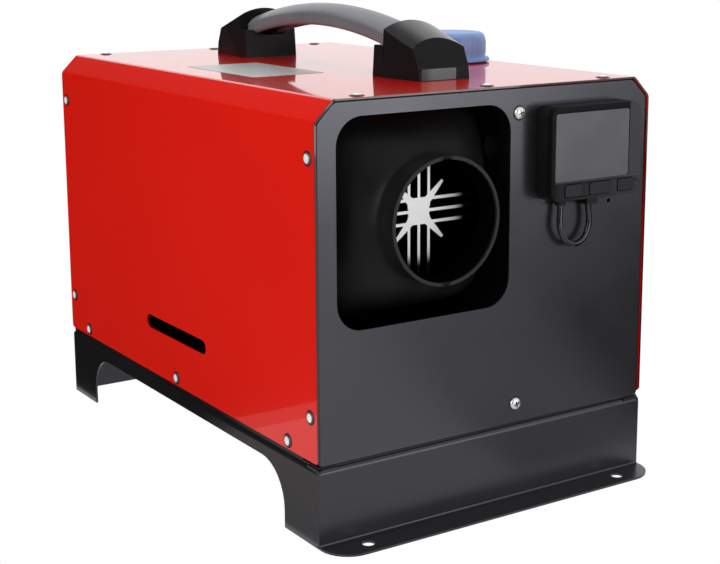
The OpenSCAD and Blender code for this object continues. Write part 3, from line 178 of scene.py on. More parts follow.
def shade(colour, factor):
    """A colour made darker or lighter."""
    return tuple(channel * factor for channel in colour)


def moulded(name, colour, rough, grain=900.0, depth=0.00006, shine=0.2):
    """Moulded plastic or rubber: a fine spark-eroded grain and slightly uneven gloss."""
    made = Finish(name, colour, rough, specular_ior_level=shine)
    made.mottle(made.noise(14.0, 4.0), shade(colour, 0.88), shade(colour, 1.12), rough - 0.05, 0.10)
    made.grain(grain, 0.5, depth)
    return made.material


def refinish(finish, *names):
    """Gives pieces kept from the frame their own finish."""
    for name in names:
        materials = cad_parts[name].data.materials
        materials.clear()
        materials.append(finish)


def smoothed(route, steps):
    """Catmull-Rom points along a route."""
    out = []
    for i in range(len(route) - 1):
        a, b = Vector(route[max(i - 1, 0)]), Vector(route[i])
        c, d = Vector(route[i + 1]), Vector(route[min(i + 2, len(route) - 1)])
        for s in range(steps):
            t = s / steps
            out.append(0.5 * (2 * b + (c - a) * t + (2 * a - 5 * b + 4 * c - d) * t * t
                              + (3 * b - a - 3 * c + d) * t ** 3))
    return out + [Vector(route[-1])]


cable_d = 0.004
loop_middle = Vector((0.063, -0.18945, 0.199))
cable_loop = [  # millimetres to the right of, in front of and above the loop's middle
    (-12, 0, -4), (-12, 0.2, -8), (-12.6, 0.6, -14), (-12.2, 1, -20), (-9, 1.2, -26.5), (-3.6, 1.2, -30.4),
    (3, 1.1, -30.6), (8.8, 0.8, -27), (12.2, 0.4, -20.6), (12.8, 0.2, -14), (12.2, 0, -9), (12, 0, -5.2)]
cable_route = smoothed([loop_middle + Vector((x, -y, z)) / 1000 for x, y, z in cable_loop], 5)
cable_line = bpy.data.curves.new("controller_lead", "CURVE")
cable_line.dimensions = "3D"
cable_line.bevel_depth = cable_d / 2
cable_line.bevel_resolution = 5
cable_line.use_fill_caps = True
strand = cable_line.splines.new("POLY")
strand.points.add(len(cable_route) - 1)
for point, at in zip(strand.points, cable_route):
    point.co = (*at, 1)
strand.use_smooth = True
controller_lead = bpy.data.objects.new("controller_lead", cable_line)
bpy.context.scene.collection.objects.link(controller_lead)
cable_line.materials.append(moulded("lead_sheath", (0.005, 0.005, 0.0055), 0.14, 1500.0, 0.00001, 0.5))
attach(controller_lead, "heater")
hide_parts("controller_cable")
sum((b - a).length for a, b in zip(cable_route, cable_route[1:]))
for boot in ("cable_relief", "cable_grommet"):
    refinish(moulded(boot + "_rubber", (0.006, 0.006, 0.006), 0.45), boot)

# ---------------------------------------------------------------- cover
# One sheet of 1.2 mm steel folded over the case, with a 13 mm bevel along each shoulder and a slot
# low in each side. It is powder coated red under a glossy clear layer, and riveted on.

front_y, back_y, middle_y = -184.75, 200.25, 7.75
case_half, case_top, cover_low, shoulder = 131.0, 274.0, 54.0, 13.0
steel = 1.2
cover_bend, past_bend = 1.3, 0.4
cover_foot_r, slot_half, slot_low, slot_high, slot_r = 3, 47.0, 87.0, 97.0, 4.99
filler_at, filler_hole_r = (88.0, -16.75), 26.35
same_point = 0.002


def outline(bm, corners, radii):
    """Edges of a closed outline in the XZ plane, its corners rounded."""
    if isinstance(radii, (int, float)):
        radii = [radii] * len(corners)
    points = [bm.verts.new((x, 0, z)) for x, z in corners]
    bm.faces.new(points)
    before = set(bm.verts) - set(points)
    for radius in sorted(set(r for r in radii if r)):
        bmesh.ops.bevel(bm, geom=[v for v, r in zip(points, radii) if r == radius], offset=radius,
                        offset_type="OFFSET", segments=8, profile=0.5, affect="VERTICES",
                        clamp_overlap=True, material=-1)
    new = [v for v in bm.verts if v not in before]
    edges = [e for e in bm.edges if e.verts[0] in new and e.verts[1] in new]
    bmesh.ops.delete(bm, geom=[f for f in bm.faces if all(v in new for v in f.verts)], context="FACES_ONLY")
    return edges


def flat_sheet(bm, corners, radii, holes=(), place=Matrix.Identity(4)):
    """A flat sheet in the XZ plane with rounded corners and holes, moved to its place."""
    rims = sum((outline(bm, shape, rounding) for shape, rounding in [(corners, radii), *holes]), [])
    verts = list({v for e in rims for v in e.verts})
    filled = bmesh.ops.triangle_fill(bm, use_beauty=True, use_dissolve=False, edges=rims)
    bmesh.ops.transform(bm, matrix=place, verts=verts)
    return [g for g in filled["geom"] if isinstance(g, bmesh.types.BMFace)]


def box_corners(x0, x1, z0, z1):
    return [(x0, z0), (x1, z0), (x1, z1), (x0, z1)]


def round_hole(x, z, radius):
    """A hole's outline: a square whose corners are rounded until they almost meet."""
    return box_corners(x - radius, x + radius, z - radius, z + radius), radius * 0.999


def split_at(bm, *cuts):
    """Cuts the flat faces close to a bend, so that its shading stops there; a cut is (point, normal)."""
    for point, normal in cuts:
        bmesh.ops.bisect_plane(bm, geom=[*bm.verts, *bm.edges, *bm.faces], dist=0.0001,
                               plane_co=point, plane_no=normal)


def piece(bm, name, material, body="heater", nodes=(), slot=None, edge=0.0, steps=2, wall=0.0,
          outward=True, crease=50, flat=50):
    """Turns millimetres into the finished piece, with its wall, softened edges and smooth shading.

    Corners sharper than crease degrees stay sharp. A flat of 100 lets the largest faces alone set the
    shading, so that a sheet mirrors as a plane does.
    """
    bmesh.ops.remove_doubles(bm, verts=bm.verts, dist=same_point)
    if outward:
        bmesh.ops.recalc_face_normals(bm, faces=bm.faces)
    bmesh.ops.scale(bm, vec=(0.001,) * 3, verts=bm.verts)
    for face in bm.faces:
        face.smooth = True
    mesh = bpy.data.meshes.new(name)
    bm.edges.index_update()
    rims = [e.index for e in bm.edges if e.is_boundary]
    bm.to_mesh(mesh)
    bm.free()
    mesh.set_sharp_from_angle(angle=math.radians(crease))
    for rim in rims:
        mesh.edges[rim].use_edge_sharp = True
    made = bpy.data.objects.new(name, mesh)
    bpy.context.scene.collection.objects.link(made)
    mesh.materials.append(material)
    if wall:
        shell = made.modifiers.new("wall", "SOLIDIFY")
        shell.thickness, shell.offset, shell.use_even_offset = wall / 1000, -1, True
    if edge:
        soft = made.modifiers.new("edges", "BEVEL")
        soft.width, soft.segments, soft.limit_method = edge / 1000, steps, "ANGLE"
        soft.angle_limit, soft.use_clamp_overlap, soft.harden_normals = math.radians(38), True, False
    shading = made.modifiers.new("shading", "WEIGHTED_NORMAL")
    shading.keep_sharp, shading.weight = True, flat
    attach(made, body)
    if nodes:
        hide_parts(*nodes)
    return made


# A sheet is drawn as seen from the front; these lay it on the case's side, or on its top.
onto_side = Matrix(((0, 0, 0, 0), (1, 0, 0, 0), (0, 0, 1, 0), (0, 0, 0, 1)))
onto_top = Matrix(((1, 0, 0, 0), (0, 0, 1, 0), (0, 0, 0, 0), (0, 0, 0, 1)))
side_top, top_half = case_top - shoulder, case_half - shoulder
cover = bmesh.new()
side_slot = box_corners(middle_y - slot_half, middle_y + slot_half, slot_low, slot_high), slot_r
for side in (-1, 1):
    flat_sheet(cover, box_corners(front_y, back_y, cover_low, side_top), (cover_foot_r, cover_foot_r, 0, 0),
               [side_slot], Matrix.Translation((side * case_half, 0, 0)) @ onto_side)
    cover.faces.new([cover.verts.new((side * x, y, z)) for x, y, z in (
        (case_half, front_y, side_top), (case_half, back_y, side_top),
        (top_half, back_y, case_top), (top_half, front_y, case_top))])
flat_sheet(cover, box_corners(-top_half, top_half, front_y, back_y), 0,
           [round_hole(*filler_at, filler_hole_r)], Matrix.Translation((0, 0, case_top)) @ onto_top)
bmesh.ops.remove_doubles(cover, verts=cover.verts, dist=same_point)
bmesh.ops.recalc_face_normals(cover, faces=cover.faces)
folds = [e for e in cover.edges if len(e.link_faces) == 2 and e.calc_face_angle() > 0.3]
bmesh.ops.bevel(cover, geom=folds, offset=cover_bend, offset_type="OFFSET", segments=4, profile=0.5,
                affect="EDGES", clamp_overlap=False, material=-1)
for face in cover.faces:
    outside = face.calc_center_median() - Vector((0, middle_y, (cover_low + case_top) / 2))
    outside.y = 0
    if face.normal.dot(outside) < 0:
        face.normal_flip()
flat_from = shoulder + cover_bend + past_bend
split_at(cover, ((case_half - flat_from, 0, 0), (1, 0, 0)), ((flat_from - case_half, 0, 0), (1, 0, 0)),
         ((0, 0, case_top - flat_from), (0, 0, 1)))

red_coat = Finish("red_powder_coat", (0.52, 0.006, 0.001), 0.32, specular_ior_level=0.12,
                  coat_weight=1.0, coat_roughness=0.04)
red_cloud = red_coat.noise(7.0, 4.0)
red_face = red_coat.blend(red_cloud, (0.600, 0.0054, 0.0006), (0.680, 0.0076, 0.0010))
_, red_y, _ = red_coat.axes()
# painted shade: the sheet's cut ends are painted dark maroon
between_ends = red_y.step(front_y + 0.2, front_y + 0.5) - red_y.step(back_y - 0.5, back_y - 0.2)
red_coat.colour(red_coat.blend(between_ends, (0.045, 0.002, 0.003), red_face))
red_coat.rough(red_cloud * 0.06 + 0.30)
red_coat.grain(260.0, 0.10, 0.00003)
piece(cover, "red_cover", red_coat.material, nodes=["case_cover"], slot="red_paint", edge=0.2, wall=steel,
      outward=False, crease=40, flat=100)

# ---------------------------------------------------------------- end panels
# Steel panels let 0.8 mm into the cover's ends, their edges bent back 18 mm and riveted to it. They
# have a fine satin black powder coat. The front one, made here, has the square duct opening.

panel_y, rear_panel_y = front_y + 0.8, back_y - 0.8
panel_gap, panel_low, panel_fold, panel_corner_r = 1.5, 51.7, 18, 2.6
panel_bend, bend_steps, shoulder_cut, cut_shrink = 1.1, 5, 12.38, 0.586
heater_x, heater_z, opening_half, opening_r = -51.0, 198.0, 65, 18
screw_x, front_screws_z, screw_hole_r = 20.5, (65.0, 256.4), 2.15
cable_hole, light_hole = (75, 196.3, 2.4), (98, 192.5, 1.5)


def satin_black(name, colour=(0.0095, 0.0095, 0.0102), rough=0.25, shine=0.42):
    """Powder coat on steel: fine dimpled grain, gloss a little uneven and dusty in patches."""
    made = Finish(name, colour, rough, specular_ior_level=shine, specular_tint=(0.87, 0.88, 1.0))
    wide, fine = made.noise(6.0, 4.0), made.noise(1500.0, 2.0)
    made.colour(made.blend(wide.step(0.3, 0.7), shade(colour, 0.9), shade(colour, 1.1)))
    made.rough(wide.step(0.3, 0.72) * 0.10 + fine * 0.05 + (rough - 0.08))
    made.bump(fine, 0.35, 0.00005)
    return made.material


def panel_outline(inset):
    """The front panel's corners, under the cover's bevels, and their radius; all drawn in by inset."""
    half, top, low = case_half - panel_gap - inset, case_top - panel_gap - inset, panel_low + inset
    cut = shoulder_cut - inset * cut_shrink
    return [(-half, low), (half, low), (half, top - cut), (half - cut, top), (cut - half, top),
            (-half, top - cut)], panel_corner_r - inset


front = bmesh.new()
duct_opening = box_corners(heater_x - opening_half, heater_x + opening_half,
                           heater_z - opening_half, heater_z + opening_half), opening_r
panel_holes = [duct_opening, round_hole(*cable_hole), round_hole(*light_hole)]
panel_holes += [round_hole(screw_x, z, screw_hole_r) for z in front_screws_z]
flat_inset = panel_bend + past_bend
flat_sheet(front, *panel_outline(flat_inset), panel_holes, Matrix.Translation((0, panel_y, 0)))
bend_turns = [math.radians(90 * i / bend_steps) for i in range(bend_steps + 1)]
bend_rings = [(flat_inset, 0)]
bend_rings += [(panel_bend * (1 - math.sin(turn)), panel_bend * (1 - math.cos(turn))) for turn in bend_turns]
bend_rings += [(0, panel_fold)]
last_ring = None
for inset, depth in bend_rings:
    ring = outline(front, *panel_outline(inset))
    bmesh.ops.translate(front, vec=(0, panel_y + depth, 0), verts=list({v for e in ring for v in e.verts}))
    if last_ring:
        bmesh.ops.bridge_loops(front, edges=last_ring + ring)
    last_ring = ring
bmesh.ops.remove_doubles(front, verts=front.verts, dist=same_point)
bmesh.ops.recalc_face_normals(front, faces=front.faces)
if sum(f.normal.y * f.calc_area() for f in front.faces) > 0:
    bmesh.ops.reverse_faces(front, faces=front.faces)
piece(front, "front_plate", satin_black("panel_powder_coat", rough=0.26, shine=0.80), nodes=["front_panel"],
      slot="satin_black_paint", wall=steel, outward=False, flat=100)

# ---------------------------------------------------------------- base
# Folded steel stand: four skirts with an arch between the feet on each side, a rolled top edge and
# a flange in front with two fixing holes. Same satin black coat.

base_half, base_top, base_wall, top_bend = 130.5, 50.5, 1.5, 3.5
foot_long, arch_high, arch_r = 42, 40, 28
flange_reach, flange_r, flange_bend = 21.5, 20, 1
fixing_x, fixing_y, fixing_r = 102, -195.5, 4
lip_width = 10
skirt_top, toe_z = base_top - top_bend, base_wall + flange_bend
base = bmesh.new()


def verts_in(geom):
    """The vertices among an operator's results."""
    return [part for part in geom if isinstance(part, bmesh.types.BMVert)]


def open_edges(bm, lies_there):
    """Free edges whose two ends both lie where they should."""
    return [e for e in bm.edges if len(e.link_faces) == 1 and all(lies_there(v.co) for v in e.verts)]


def rolled_edge(bm, axis_at, axis, inward):
    """Rolls the skirt's top edge inwards about a line and carries on as a level lip."""
    rim = open_edges(bm, lambda at: abs(at.z - skirt_top) < 0.01
                     and abs((at - Vector(axis_at)).dot(inward) + top_bend) < 0.02)
    rolled = bmesh.ops.spin(bm, geom=rim, cent=axis_at, axis=axis, angle=math.radians(90), steps=6,
                            use_duplicate=False)["geom_last"]
    last = [g for g in rolled if isinstance(g, bmesh.types.BMEdge)]
    lip = bmesh.ops.extrude_edge_only(bm, edges=last)["geom"]
    bmesh.ops.translate(bm, vec=inward * lip_width, verts=verts_in(lip))


arch_start, arch_end = front_y + foot_long, back_y - foot_long
side_skirt = [(front_y, 0), (arch_start, 0), (arch_start, arch_high), (arch_end, arch_high), (arch_end, 0),
              (back_y, 0), (back_y, skirt_top), (front_y, skirt_top)]
for side in (-1, 1):
    flat_sheet(base, side_skirt, (0, 0, arch_r, arch_r, 0, 0, 0, 0), (),
               Matrix.Translation((side * base_half, 0, 0)) @ onto_side)
    rolled_edge(base, (side * (base_half - top_bend), 0, skirt_top), (0, -side, 0), Vector((-side, 0, 0)))
for y, inward, low in ((front_y, 1, toe_z), (back_y, -1, 0)):
    flat_sheet(base, box_corners(-base_half, base_half, low, skirt_top), 0, (), Matrix.Translation((0, y, 0)))
    rolled_edge(base, (0, y + inward * top_bend, skirt_top), (-inward, 0, 0), Vector((0, inward, 0)))
# the flange: a small bend at the foot of the front skirt, then a flat tab with round ends
toe = open_edges(base, lambda at: abs(at.z - toe_z) < 0.01 and abs(at.y - front_y) < 0.01)
tab_y = front_y - flange_bend
bmesh.ops.spin(base, geom=toe, cent=(0, tab_y, toe_z), axis=(1, 0, 0), angle=math.radians(-90), steps=4,
               use_duplicate=False)
flat_sheet(base, box_corners(-base_half, base_half, front_y - flange_reach, tab_y),
           (flange_r, flange_r, 0, 0), [round_hole(x, fixing_y, fixing_r) for x in (-fixing_x, fixing_x)],
           Matrix.Translation((0, 0, base_wall)) @ onto_top)
bmesh.ops.remove_doubles(base, verts=base.verts, dist=0.01)
bmesh.ops.recalc_face_normals(base, faces=base.faces)
for face in base.faces:
    outside = face.calc_center_median() - Vector((0, middle_y, 0))
    outside.z = 0
    level = abs(face.normal.z) > 0.7
    if (face.normal.z if level else face.normal.dot(outside)) < 0:
        face.normal_flip()
split_at(base, ((0, 0, toe_z + past_bend), (0, 0, 1)), ((0, 0, skirt_top - past_bend), (0, 0, 1)),
         ((0, tab_y - past_bend, 0), (0, 1, 0)))
piece(base, "base_stand_steel", satin_black("base_powder_coat", (0.0085, 0.0085, 0.0092), 0.30, 0.60),
      nodes=["base_stand"], slot="satin_black_paint", edge=0.3, wall=base_wall, outward=False, flat=100)

# ---------------------------------------------------------------- rivets and screws
# Zinc-plated dome rivets hold the cover, and cross-recess pan screws hold the panels. Each sits in a
# thin dark ring of painted shade about its head.

rivet_r, rivet_high = 4.3, 1.6
end_inset, side_rivets_z, low_rivet_z, low_pitch = 8, (239.5, 82.0), 59.5, 157
top_pitch, top_rivet_y = 96.5, 184.5
screw_head_high, recess_r, recess_low, recess_half, recess_turn = 2.2, 2.1, 1.0, 0.42, 0.3
floor_screw_x, floor_screw_y = 122, 162.5


def plated(name, colour=(0.74, 0.74, 0.73), rough=0.22, metallic=0.8):
    """Zinc plate: slightly mottled, with fine turning marks."""
    made = Finish(name, colour, rough, metallic=metallic)
    spots = made.noise(320.0, 3.0)
    made.colour(made.blend(spots.step(0.35, 0.7), shade(colour, 0.82), colour))
    made.rough(spots.step(0.3, 0.7) * 0.14 + (rough - 0.05))
    made.grain(900.0, 0.2, 0.00003)
    return made.material


def crowned_plate():
    """Zinc plate for the rivets: the crown is pale and the rim, close to the cover, is painted dark as a
    painted reflection.
    """
    made = Finish("rivet_plate", (0.74, 0.74, 0.73), 0.28, metallic=0.3)
    x, _, z = made.axes()
    # how far a point stands off the cover's sides or its top
    proud = (x.maths("ABSOLUTE") - case_half).maths("MAXIMUM", z - case_top)
    spots = made.noise(320.0, 3.0)
    crown = made.blend(spots.step(0.35, 0.7), (0.88, 0.88, 0.88), (0.96, 0.96, 0.96))
    # painted reflection: the rim close to the cover is painted dark
    made.colour(made.blend(proud.step(0.7, 1.2), (0.060, 0.056, 0.056), crown))
    made.rough(spots.step(0.3, 0.7) * 0.12 + 0.24)
    made.grain(900.0, 0.2, 0.00003)
    return made.material


def turned(bm, profile, steps=36, place=Matrix.Identity(4)):
    """Spins a profile of (radius, height) once about Z, then moves it to its place."""
    points = [bm.verts.new((r, 0, z)) for r, z in profile]
    wire = [bm.edges.new(pair) for pair in zip(points, points[1:])]
    before = set(bm.verts) - set(points)
    bmesh.ops.spin(bm, geom=points + wire, cent=(0, 0, 0), axis=(0, 0, 1), angle=math.tau, steps=steps,
                   use_merge=True, use_duplicate=False)
    bmesh.ops.remove_doubles(bm, verts=[v for v in bm.verts if v not in before], dist=0.001)
    bmesh.ops.transform(bm, matrix=place, verts=[v for v in bm.verts if v not in before])


def dome(radius, height, steps=6):
    """Profile of a shallow dome from its rim to its pole."""
    ball = (radius ** 2 + height ** 2) / (2 * height)
    span = math.asin(radius / ball)
    turns = [span * (1 - i / steps) for i in range(steps + 1)]
    return [(ball * math.sin(turn), height - ball + ball * math.cos(turn)) for turn in turns]


def shade_ring(inner, outer, edge):
    """Profile of the thin dark ring of painted shade that a rivet or a screw sits in; edge is the height of
    its outer edge.
    """
    return [(inner, 0.01), (outer, 0.01), (outer - 0.15, edge), (inner + 0.15, 0.30), (inner, 0.01)]


def box(bm, low, high):
    """A plain block between two corners."""
    size = [b - a for a, b in zip(low, high)]
    centre = [(a + b) / 2 for a, b in zip(low, high)]
    at = Matrix.Translation(centre) @ Matrix.Diagonal((*size, 1))
    return bmesh.ops.create_cube(bm, size=1, matrix=at)["verts"]


def cut_by(made, cutter):
    """Takes the cutter's volume out of a piece and removes the cutter."""
    carve = made.modifiers.new("recess", "BOOLEAN")
    carve.operation, carve.object, carve.solver, carve.use_self = "DIFFERENCE", cutter, "EXACT", True
    while made.modifiers[0] != carve:
        with bpy.context.temp_override(object=made, active_object=made):
            bpy.ops.object.modifier_move_to_index(modifier=carve.name, index=0)
    bpy.context.view_layer.update()
    shape = bpy.data.meshes.new_from_object(made.evaluated_get(bpy.context.evaluated_depsgraph_get()))
    made.modifiers.clear()
    old, made.data = made.data, shape
    bpy.data.meshes.remove(old)
    bpy.data.objects.remove(cutter)


def recess_cutter(places):
    """The crosses that the driver's tip leaves in the screws' heads, as one object."""
    crosses = bmesh.new()
    for place in places:
        for turn in (0, math.pi / 2):
            arm = box(crosses, (-recess_r, -recess_half, recess_low),
                      (recess_r, recess_half, screw_head_high + 0.8))
            turned_arm = place @ Matrix.Rotation(turn + recess_turn, 4, "Z")
            bmesh.ops.transform(crosses, matrix=turned_arm, verts=arm)
    bmesh.ops.scale(crosses, vec=(0.001,) * 3, verts=crosses.verts)
    mesh = bpy.data.meshes.new("cross")
    crosses.to_mesh(mesh)
    crosses.free()
    cutter = bpy.data.objects.new("cross", mesh)
    bpy.context.scene.collection.objects.link(cutter)
    return cutter


# near-black plate for the rings of painted shade about the heads and for the screws' cross recesses
painted_shade_zinc = plated("painted_shade_plate", (0.012, 0.012, 0.013), 0.5)
rivet_places = []
for side in (-1, 1):
    outwards = Matrix.Rotation(side * math.pi / 2, 4, "Y")
    rivet_places += [Matrix.Translation((side * case_half, y, z)) @ outwards
                     for y in (front_y + end_inset, back_y - end_inset) for z in side_rivets_z]
    rivet_places += [Matrix.Translation((side * case_half, middle_y + i * low_pitch, low_rivet_z)) @ outwards
                     for i in (-1, 0, 1)]
    rivet_places += [Matrix.Translation((i * top_pitch, middle_y + side * top_rivet_y, case_top))
                     for i in (-1, 0, 1)]
rivet_shape = [  # radius and height over the cover: the upset end, the shank, the head's rim, its dome
    (0, -5.2), (2.5, -5.2), (2.5, -2.7), (1.6, -2.7), (1.6, 0.0), (4.0, 0.0), (rivet_r, 0.12),
    *dome(rivet_r, rivet_high)[1:]]
rivets, rivet_shade_rings = bmesh.new(), bmesh.new()
for place in rivet_places:
    turned(rivets, rivet_shape, 28, place)
    turned(rivet_shade_rings, shade_ring(4.1, 4.75, 0.22), 28, place)
piece(rivets, "dome_rivets", crowned_plate(), nodes=["cover_rivets"], slot="zinc_steel")
piece(rivet_shade_rings, "rivet_shade_rings", painted_shade_zinc, slot="zinc_steel")

toward_front, toward_back = Matrix.Rotation(math.pi / 2, 4, "X"), Matrix.Rotation(-math.pi / 2, 4, "X")
screw_places = [Matrix.Translation((screw_x, y, z)) @ turn for z in front_screws_z
                for y, turn in ((panel_y, toward_front), (rear_panel_y, toward_back))]
screw_places += [Matrix.Translation((i * floor_screw_x, middle_y + j * floor_screw_y, base_top - base_wall))
                 @ Matrix.Rotation(math.pi, 4, "X") for i in (-1, 1) for j in (-1, 1)]
screw_shape = [  # radius and height over the sheet: the point, the shank, the rounded pan head
    (0, -6), (1.6, -6), (2.0, -5.3), (2.0, 0), (4.1, 0), (4.2, 0.25), (4.05, 1.0), (3.4, 1.7), (2.5, 2.05),
    (1.2, screw_head_high), (0, screw_head_high)]
screws, screw_shade_rings = bmesh.new(), bmesh.new()
for place in screw_places:
    turned(screws, screw_shape, 28, place)
    turned(screw_shade_rings, shade_ring(4.0, 4.9, 0.20), 28, place)
screw_set = piece(screws, "panel_screw_set", plated("zinc_plate", rough=0.30), nodes=["panel_screws"],
                  slot="zinc_steel")
cut_by(screw_set, recess_cutter(screw_places))
# painted shade: the faces inside the cross recesses take the near-black plate
screw_set.data.materials.append(painted_shade_zinc)
for face in screw_set.data.polygons:
    for place in screw_places:
        at = place.inverted() @ (face.center * 1000)
        inside_recess = recess_low - 0.1 < at.z < screw_head_high - 0.21
        if inside_recess and math.hypot(at.x, at.y) < recess_r + 0.1:
            face.material_index = 1
piece(screw_shade_rings, "screw_shade_rings", painted_shade_zinc, slot="zinc_steel")

# ---------------------------------------------------------------- carrying handle
# An arched grip, injection moulded in satin grey, whose ends sit in two black glass-filled nylon feet
# bolted through the top of the cover. A thin grey strip closes the low end of each foot.

grip_arch_r, grip_crown_r, grip_z, grip_reach = 400.0, 16.8, 310.75, 112.0
grip_half_wide, grip_half_high, crown_foot = 13.5, 7.75, 0.95
under_edge_r, crown_edge_r, hollow_rim, hollow_deep = 3.4, 0.7, 2.0, 3.0
strip_y, strip_thick, strip_x, strip_z = 139.45, 0.5, (-18.4, 9.4), (274.3, 281.8)


def dressed_copy(name, node, material, **words):
    """A merged copy of a frame solid with its flat faces joined and its edges softened."""
    bm = bmesh.new()
    bm.from_mesh(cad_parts[node].data)
    bmesh.ops.remove_doubles(bm, verts=bm.verts, dist=1e-6)
    bmesh.ops.dissolve_limit(bm, angle_limit=math.radians(1.0), verts=bm.verts, edges=bm.edges)
    bmesh.ops.scale(bm, vec=(1000,) * 3, verts=bm.verts)
    return piece(bm, name, material, nodes=[node], outward=False, **words)


grip = bmesh.new()
bmesh.ops.spin(grip, geom=[grip.verts.new((-grip_half_wide, middle_y, grip_z + crown_foot))],
               cent=(0, middle_y, grip_z + grip_half_high - grip_crown_r), axis=(0, 1, 0),
               angle=2 * math.asin(grip_half_wide / grip_crown_r), steps=14, use_duplicate=False)
crown_line = sorted(grip.verts, key=lambda v: v.co.x)
low_right, low_left = (grip.verts.new((x, middle_y, grip_z - grip_half_high))
                       for x in (grip_half_wide, -grip_half_wide))
grip.faces.new(crown_line + [low_right, low_left])
for corners, radius, steps in (((low_left, low_right), under_edge_r, 5),
                               ((crown_line[0], crown_line[-1]), crown_edge_r, 3)):
    bmesh.ops.bevel(grip, geom=corners, offset=radius, offset_type="OFFSET", segments=steps, profile=0.5,
                    affect="VERTICES", clamp_overlap=True, material=-1)
half_turn = math.asin(grip_reach / grip_arch_r)
arch_middle = Vector((0, middle_y, grip_z - grip_arch_r))
bmesh.ops.rotate(grip, cent=arch_middle, matrix=Matrix.Rotation(-half_turn, 3, "X"), verts=grip.verts)
bmesh.ops.spin(grip, geom=grip.faces[:], cent=arch_middle, axis=(1, 0, 0), angle=2 * half_turn, steps=56,
               use_duplicate=False)
bmesh.ops.recalc_face_normals(grip, faces=grip.faces)
# the grip is moulded hollow from below
under = [f for f in grip.faces if f.normal.dot((f.calc_center_median() - arch_middle).normalized()) < -0.97]
bmesh.ops.inset_region(grip, faces=under, thickness=hollow_rim, depth=-hollow_deep, use_even_offset=True,
                       use_boundary=True)
for face in under:
    face.material_index = 1
grip_skin = Finish("grip_plastic", (0.140, 0.145, 0.158), 0.30, specular_ior_level=0.55)
grip_skin.mottle(grip_skin.noise(60.0, 3.0, stretch=(1.0, 0.25, 1.0)), (0.124, 0.129, 0.141),
                 (0.148, 0.154, 0.168), 0.26, 0.08)
grip_skin.grain(1400.0, 0.4, 0.00004)
grip_moulding = piece(grip, "grip_moulding", grip_skin.material, nodes=["handle_grip"], slot="grip_grey",
                      crease=60)
# painted shade: the hollow underside is a near-black copy of the grip's grey plastic
grip_moulding.data.materials.append(moulded("grip_underside_painted_shade", (0.020, 0.020, 0.021), 0.5))

nylon = Finish("foot_nylon", (0.0045, 0.0045, 0.0048), 0.32, specular_ior_level=0.09, coat_roughness=0.24,
               coat_ior=1.75)
nylon.mottle(nylon.noise(14.0, 4.0), (0.0072, 0.0072, 0.0078), (0.0092, 0.0092, 0.0099), 0.27, 0.10)
# the nylon is dull when seen straight on and gains gloss at a flat angle
turned_away = nylon.node("ShaderNodeLayerWeight", None, {"Blend": 0.5}, output=1)
nylon.feed(nylon.surface.inputs["Coat Weight"], turned_away.step(0.48, 0.62) * 0.65)
nylon.grain(700.0, 0.5, 0.00006)
for end in ("front", "rear"):
    dressed_copy(f"handle_{end}_foot", f"handle_foot_{end}", nylon.material, edge=0.9, steps=3,
                 slot="black_plastic", crease=35)

strips = bmesh.new()
for y in (middle_y - strip_y, middle_y + strip_y):
    box(strips, (strip_x[0], y - strip_thick / 2, strip_z[0]), (strip_x[1], y + strip_thick / 2, strip_z[1]))
strip_skin = Finish("foot_strip", (0.10, 0.10, 0.102), 0.25, specular_ior_level=0.3)
along_strip, _, _ = strip_skin.axes()
# painted shade: the strip is painted near black toward its left end, grey beyond
strip_skin.colour(strip_skin.blend(along_strip.step(-17.5, -8.0), (0.006, 0.006, 0.006),
                                   (0.100, 0.148, 0.145)))
piece(strips, "foot_strips", strip_skin.material, slot="black_plastic", edge=0.1, crease=40)

# ---------------------------------------------------------------- controller
# Two-part ABS housing clipped on a cradle, with a window of smoked acrylic and a strip of three silicone
# keys under it. The bezel has a fine spark-eroded texture, with painted light to the right of the window, on
# the key strip and in a highlight line above it.

controller_at, controller_size, controller_r = (73.0, 229.5), (76, 61), 7
face_y, housing_y = panel_y - 15.5, panel_y - 10
window_at, window_size = (69.25, 233.75), (62.5, 44.5)
key_z, key_places, key_widths, key_tall, key_gap = 205.6, (53.5, 76.0, 98.0), (14.0, 17.5, 13.5), 7.8, 0.4
key_out, key_flange_in, key_in = 0.6, 1.8, 3.6


def centred(at, size, grow=0.0):
    """Corners of a rectangle about its middle, each side moved out by grow."""
    half_wide, half_tall = (length / 2 + grow for length in size)
    return box_corners(at[0] - half_wide, at[0] + half_wide, at[1] - half_tall, at[1] + half_tall)


def rounded_slab(bm, at, size, radius, near_y, far_y, holes=()):
    """A rounded block between two depths; holes go right through."""
    faces = flat_sheet(bm, centred(at, size), radius, holes, Matrix.Translation((0, far_y, 0)))
    grown = bmesh.ops.extrude_face_region(bm, geom=faces)["geom"]
    bmesh.ops.translate(bm, vec=(0, near_y - far_y, 0), verts=verts_in(grown))


shell = bmesh.new()
rounded_slab(shell, controller_at, controller_size, controller_r, housing_y, panel_y - 0.2)
piece(shell, "controller_housing", moulded("housing_abs", (0.0045, 0.0045, 0.005), 0.40, grain=1100.0),
      nodes=["controller_back"], slot="black_plastic", edge=0.8, steps=3, crease=40)


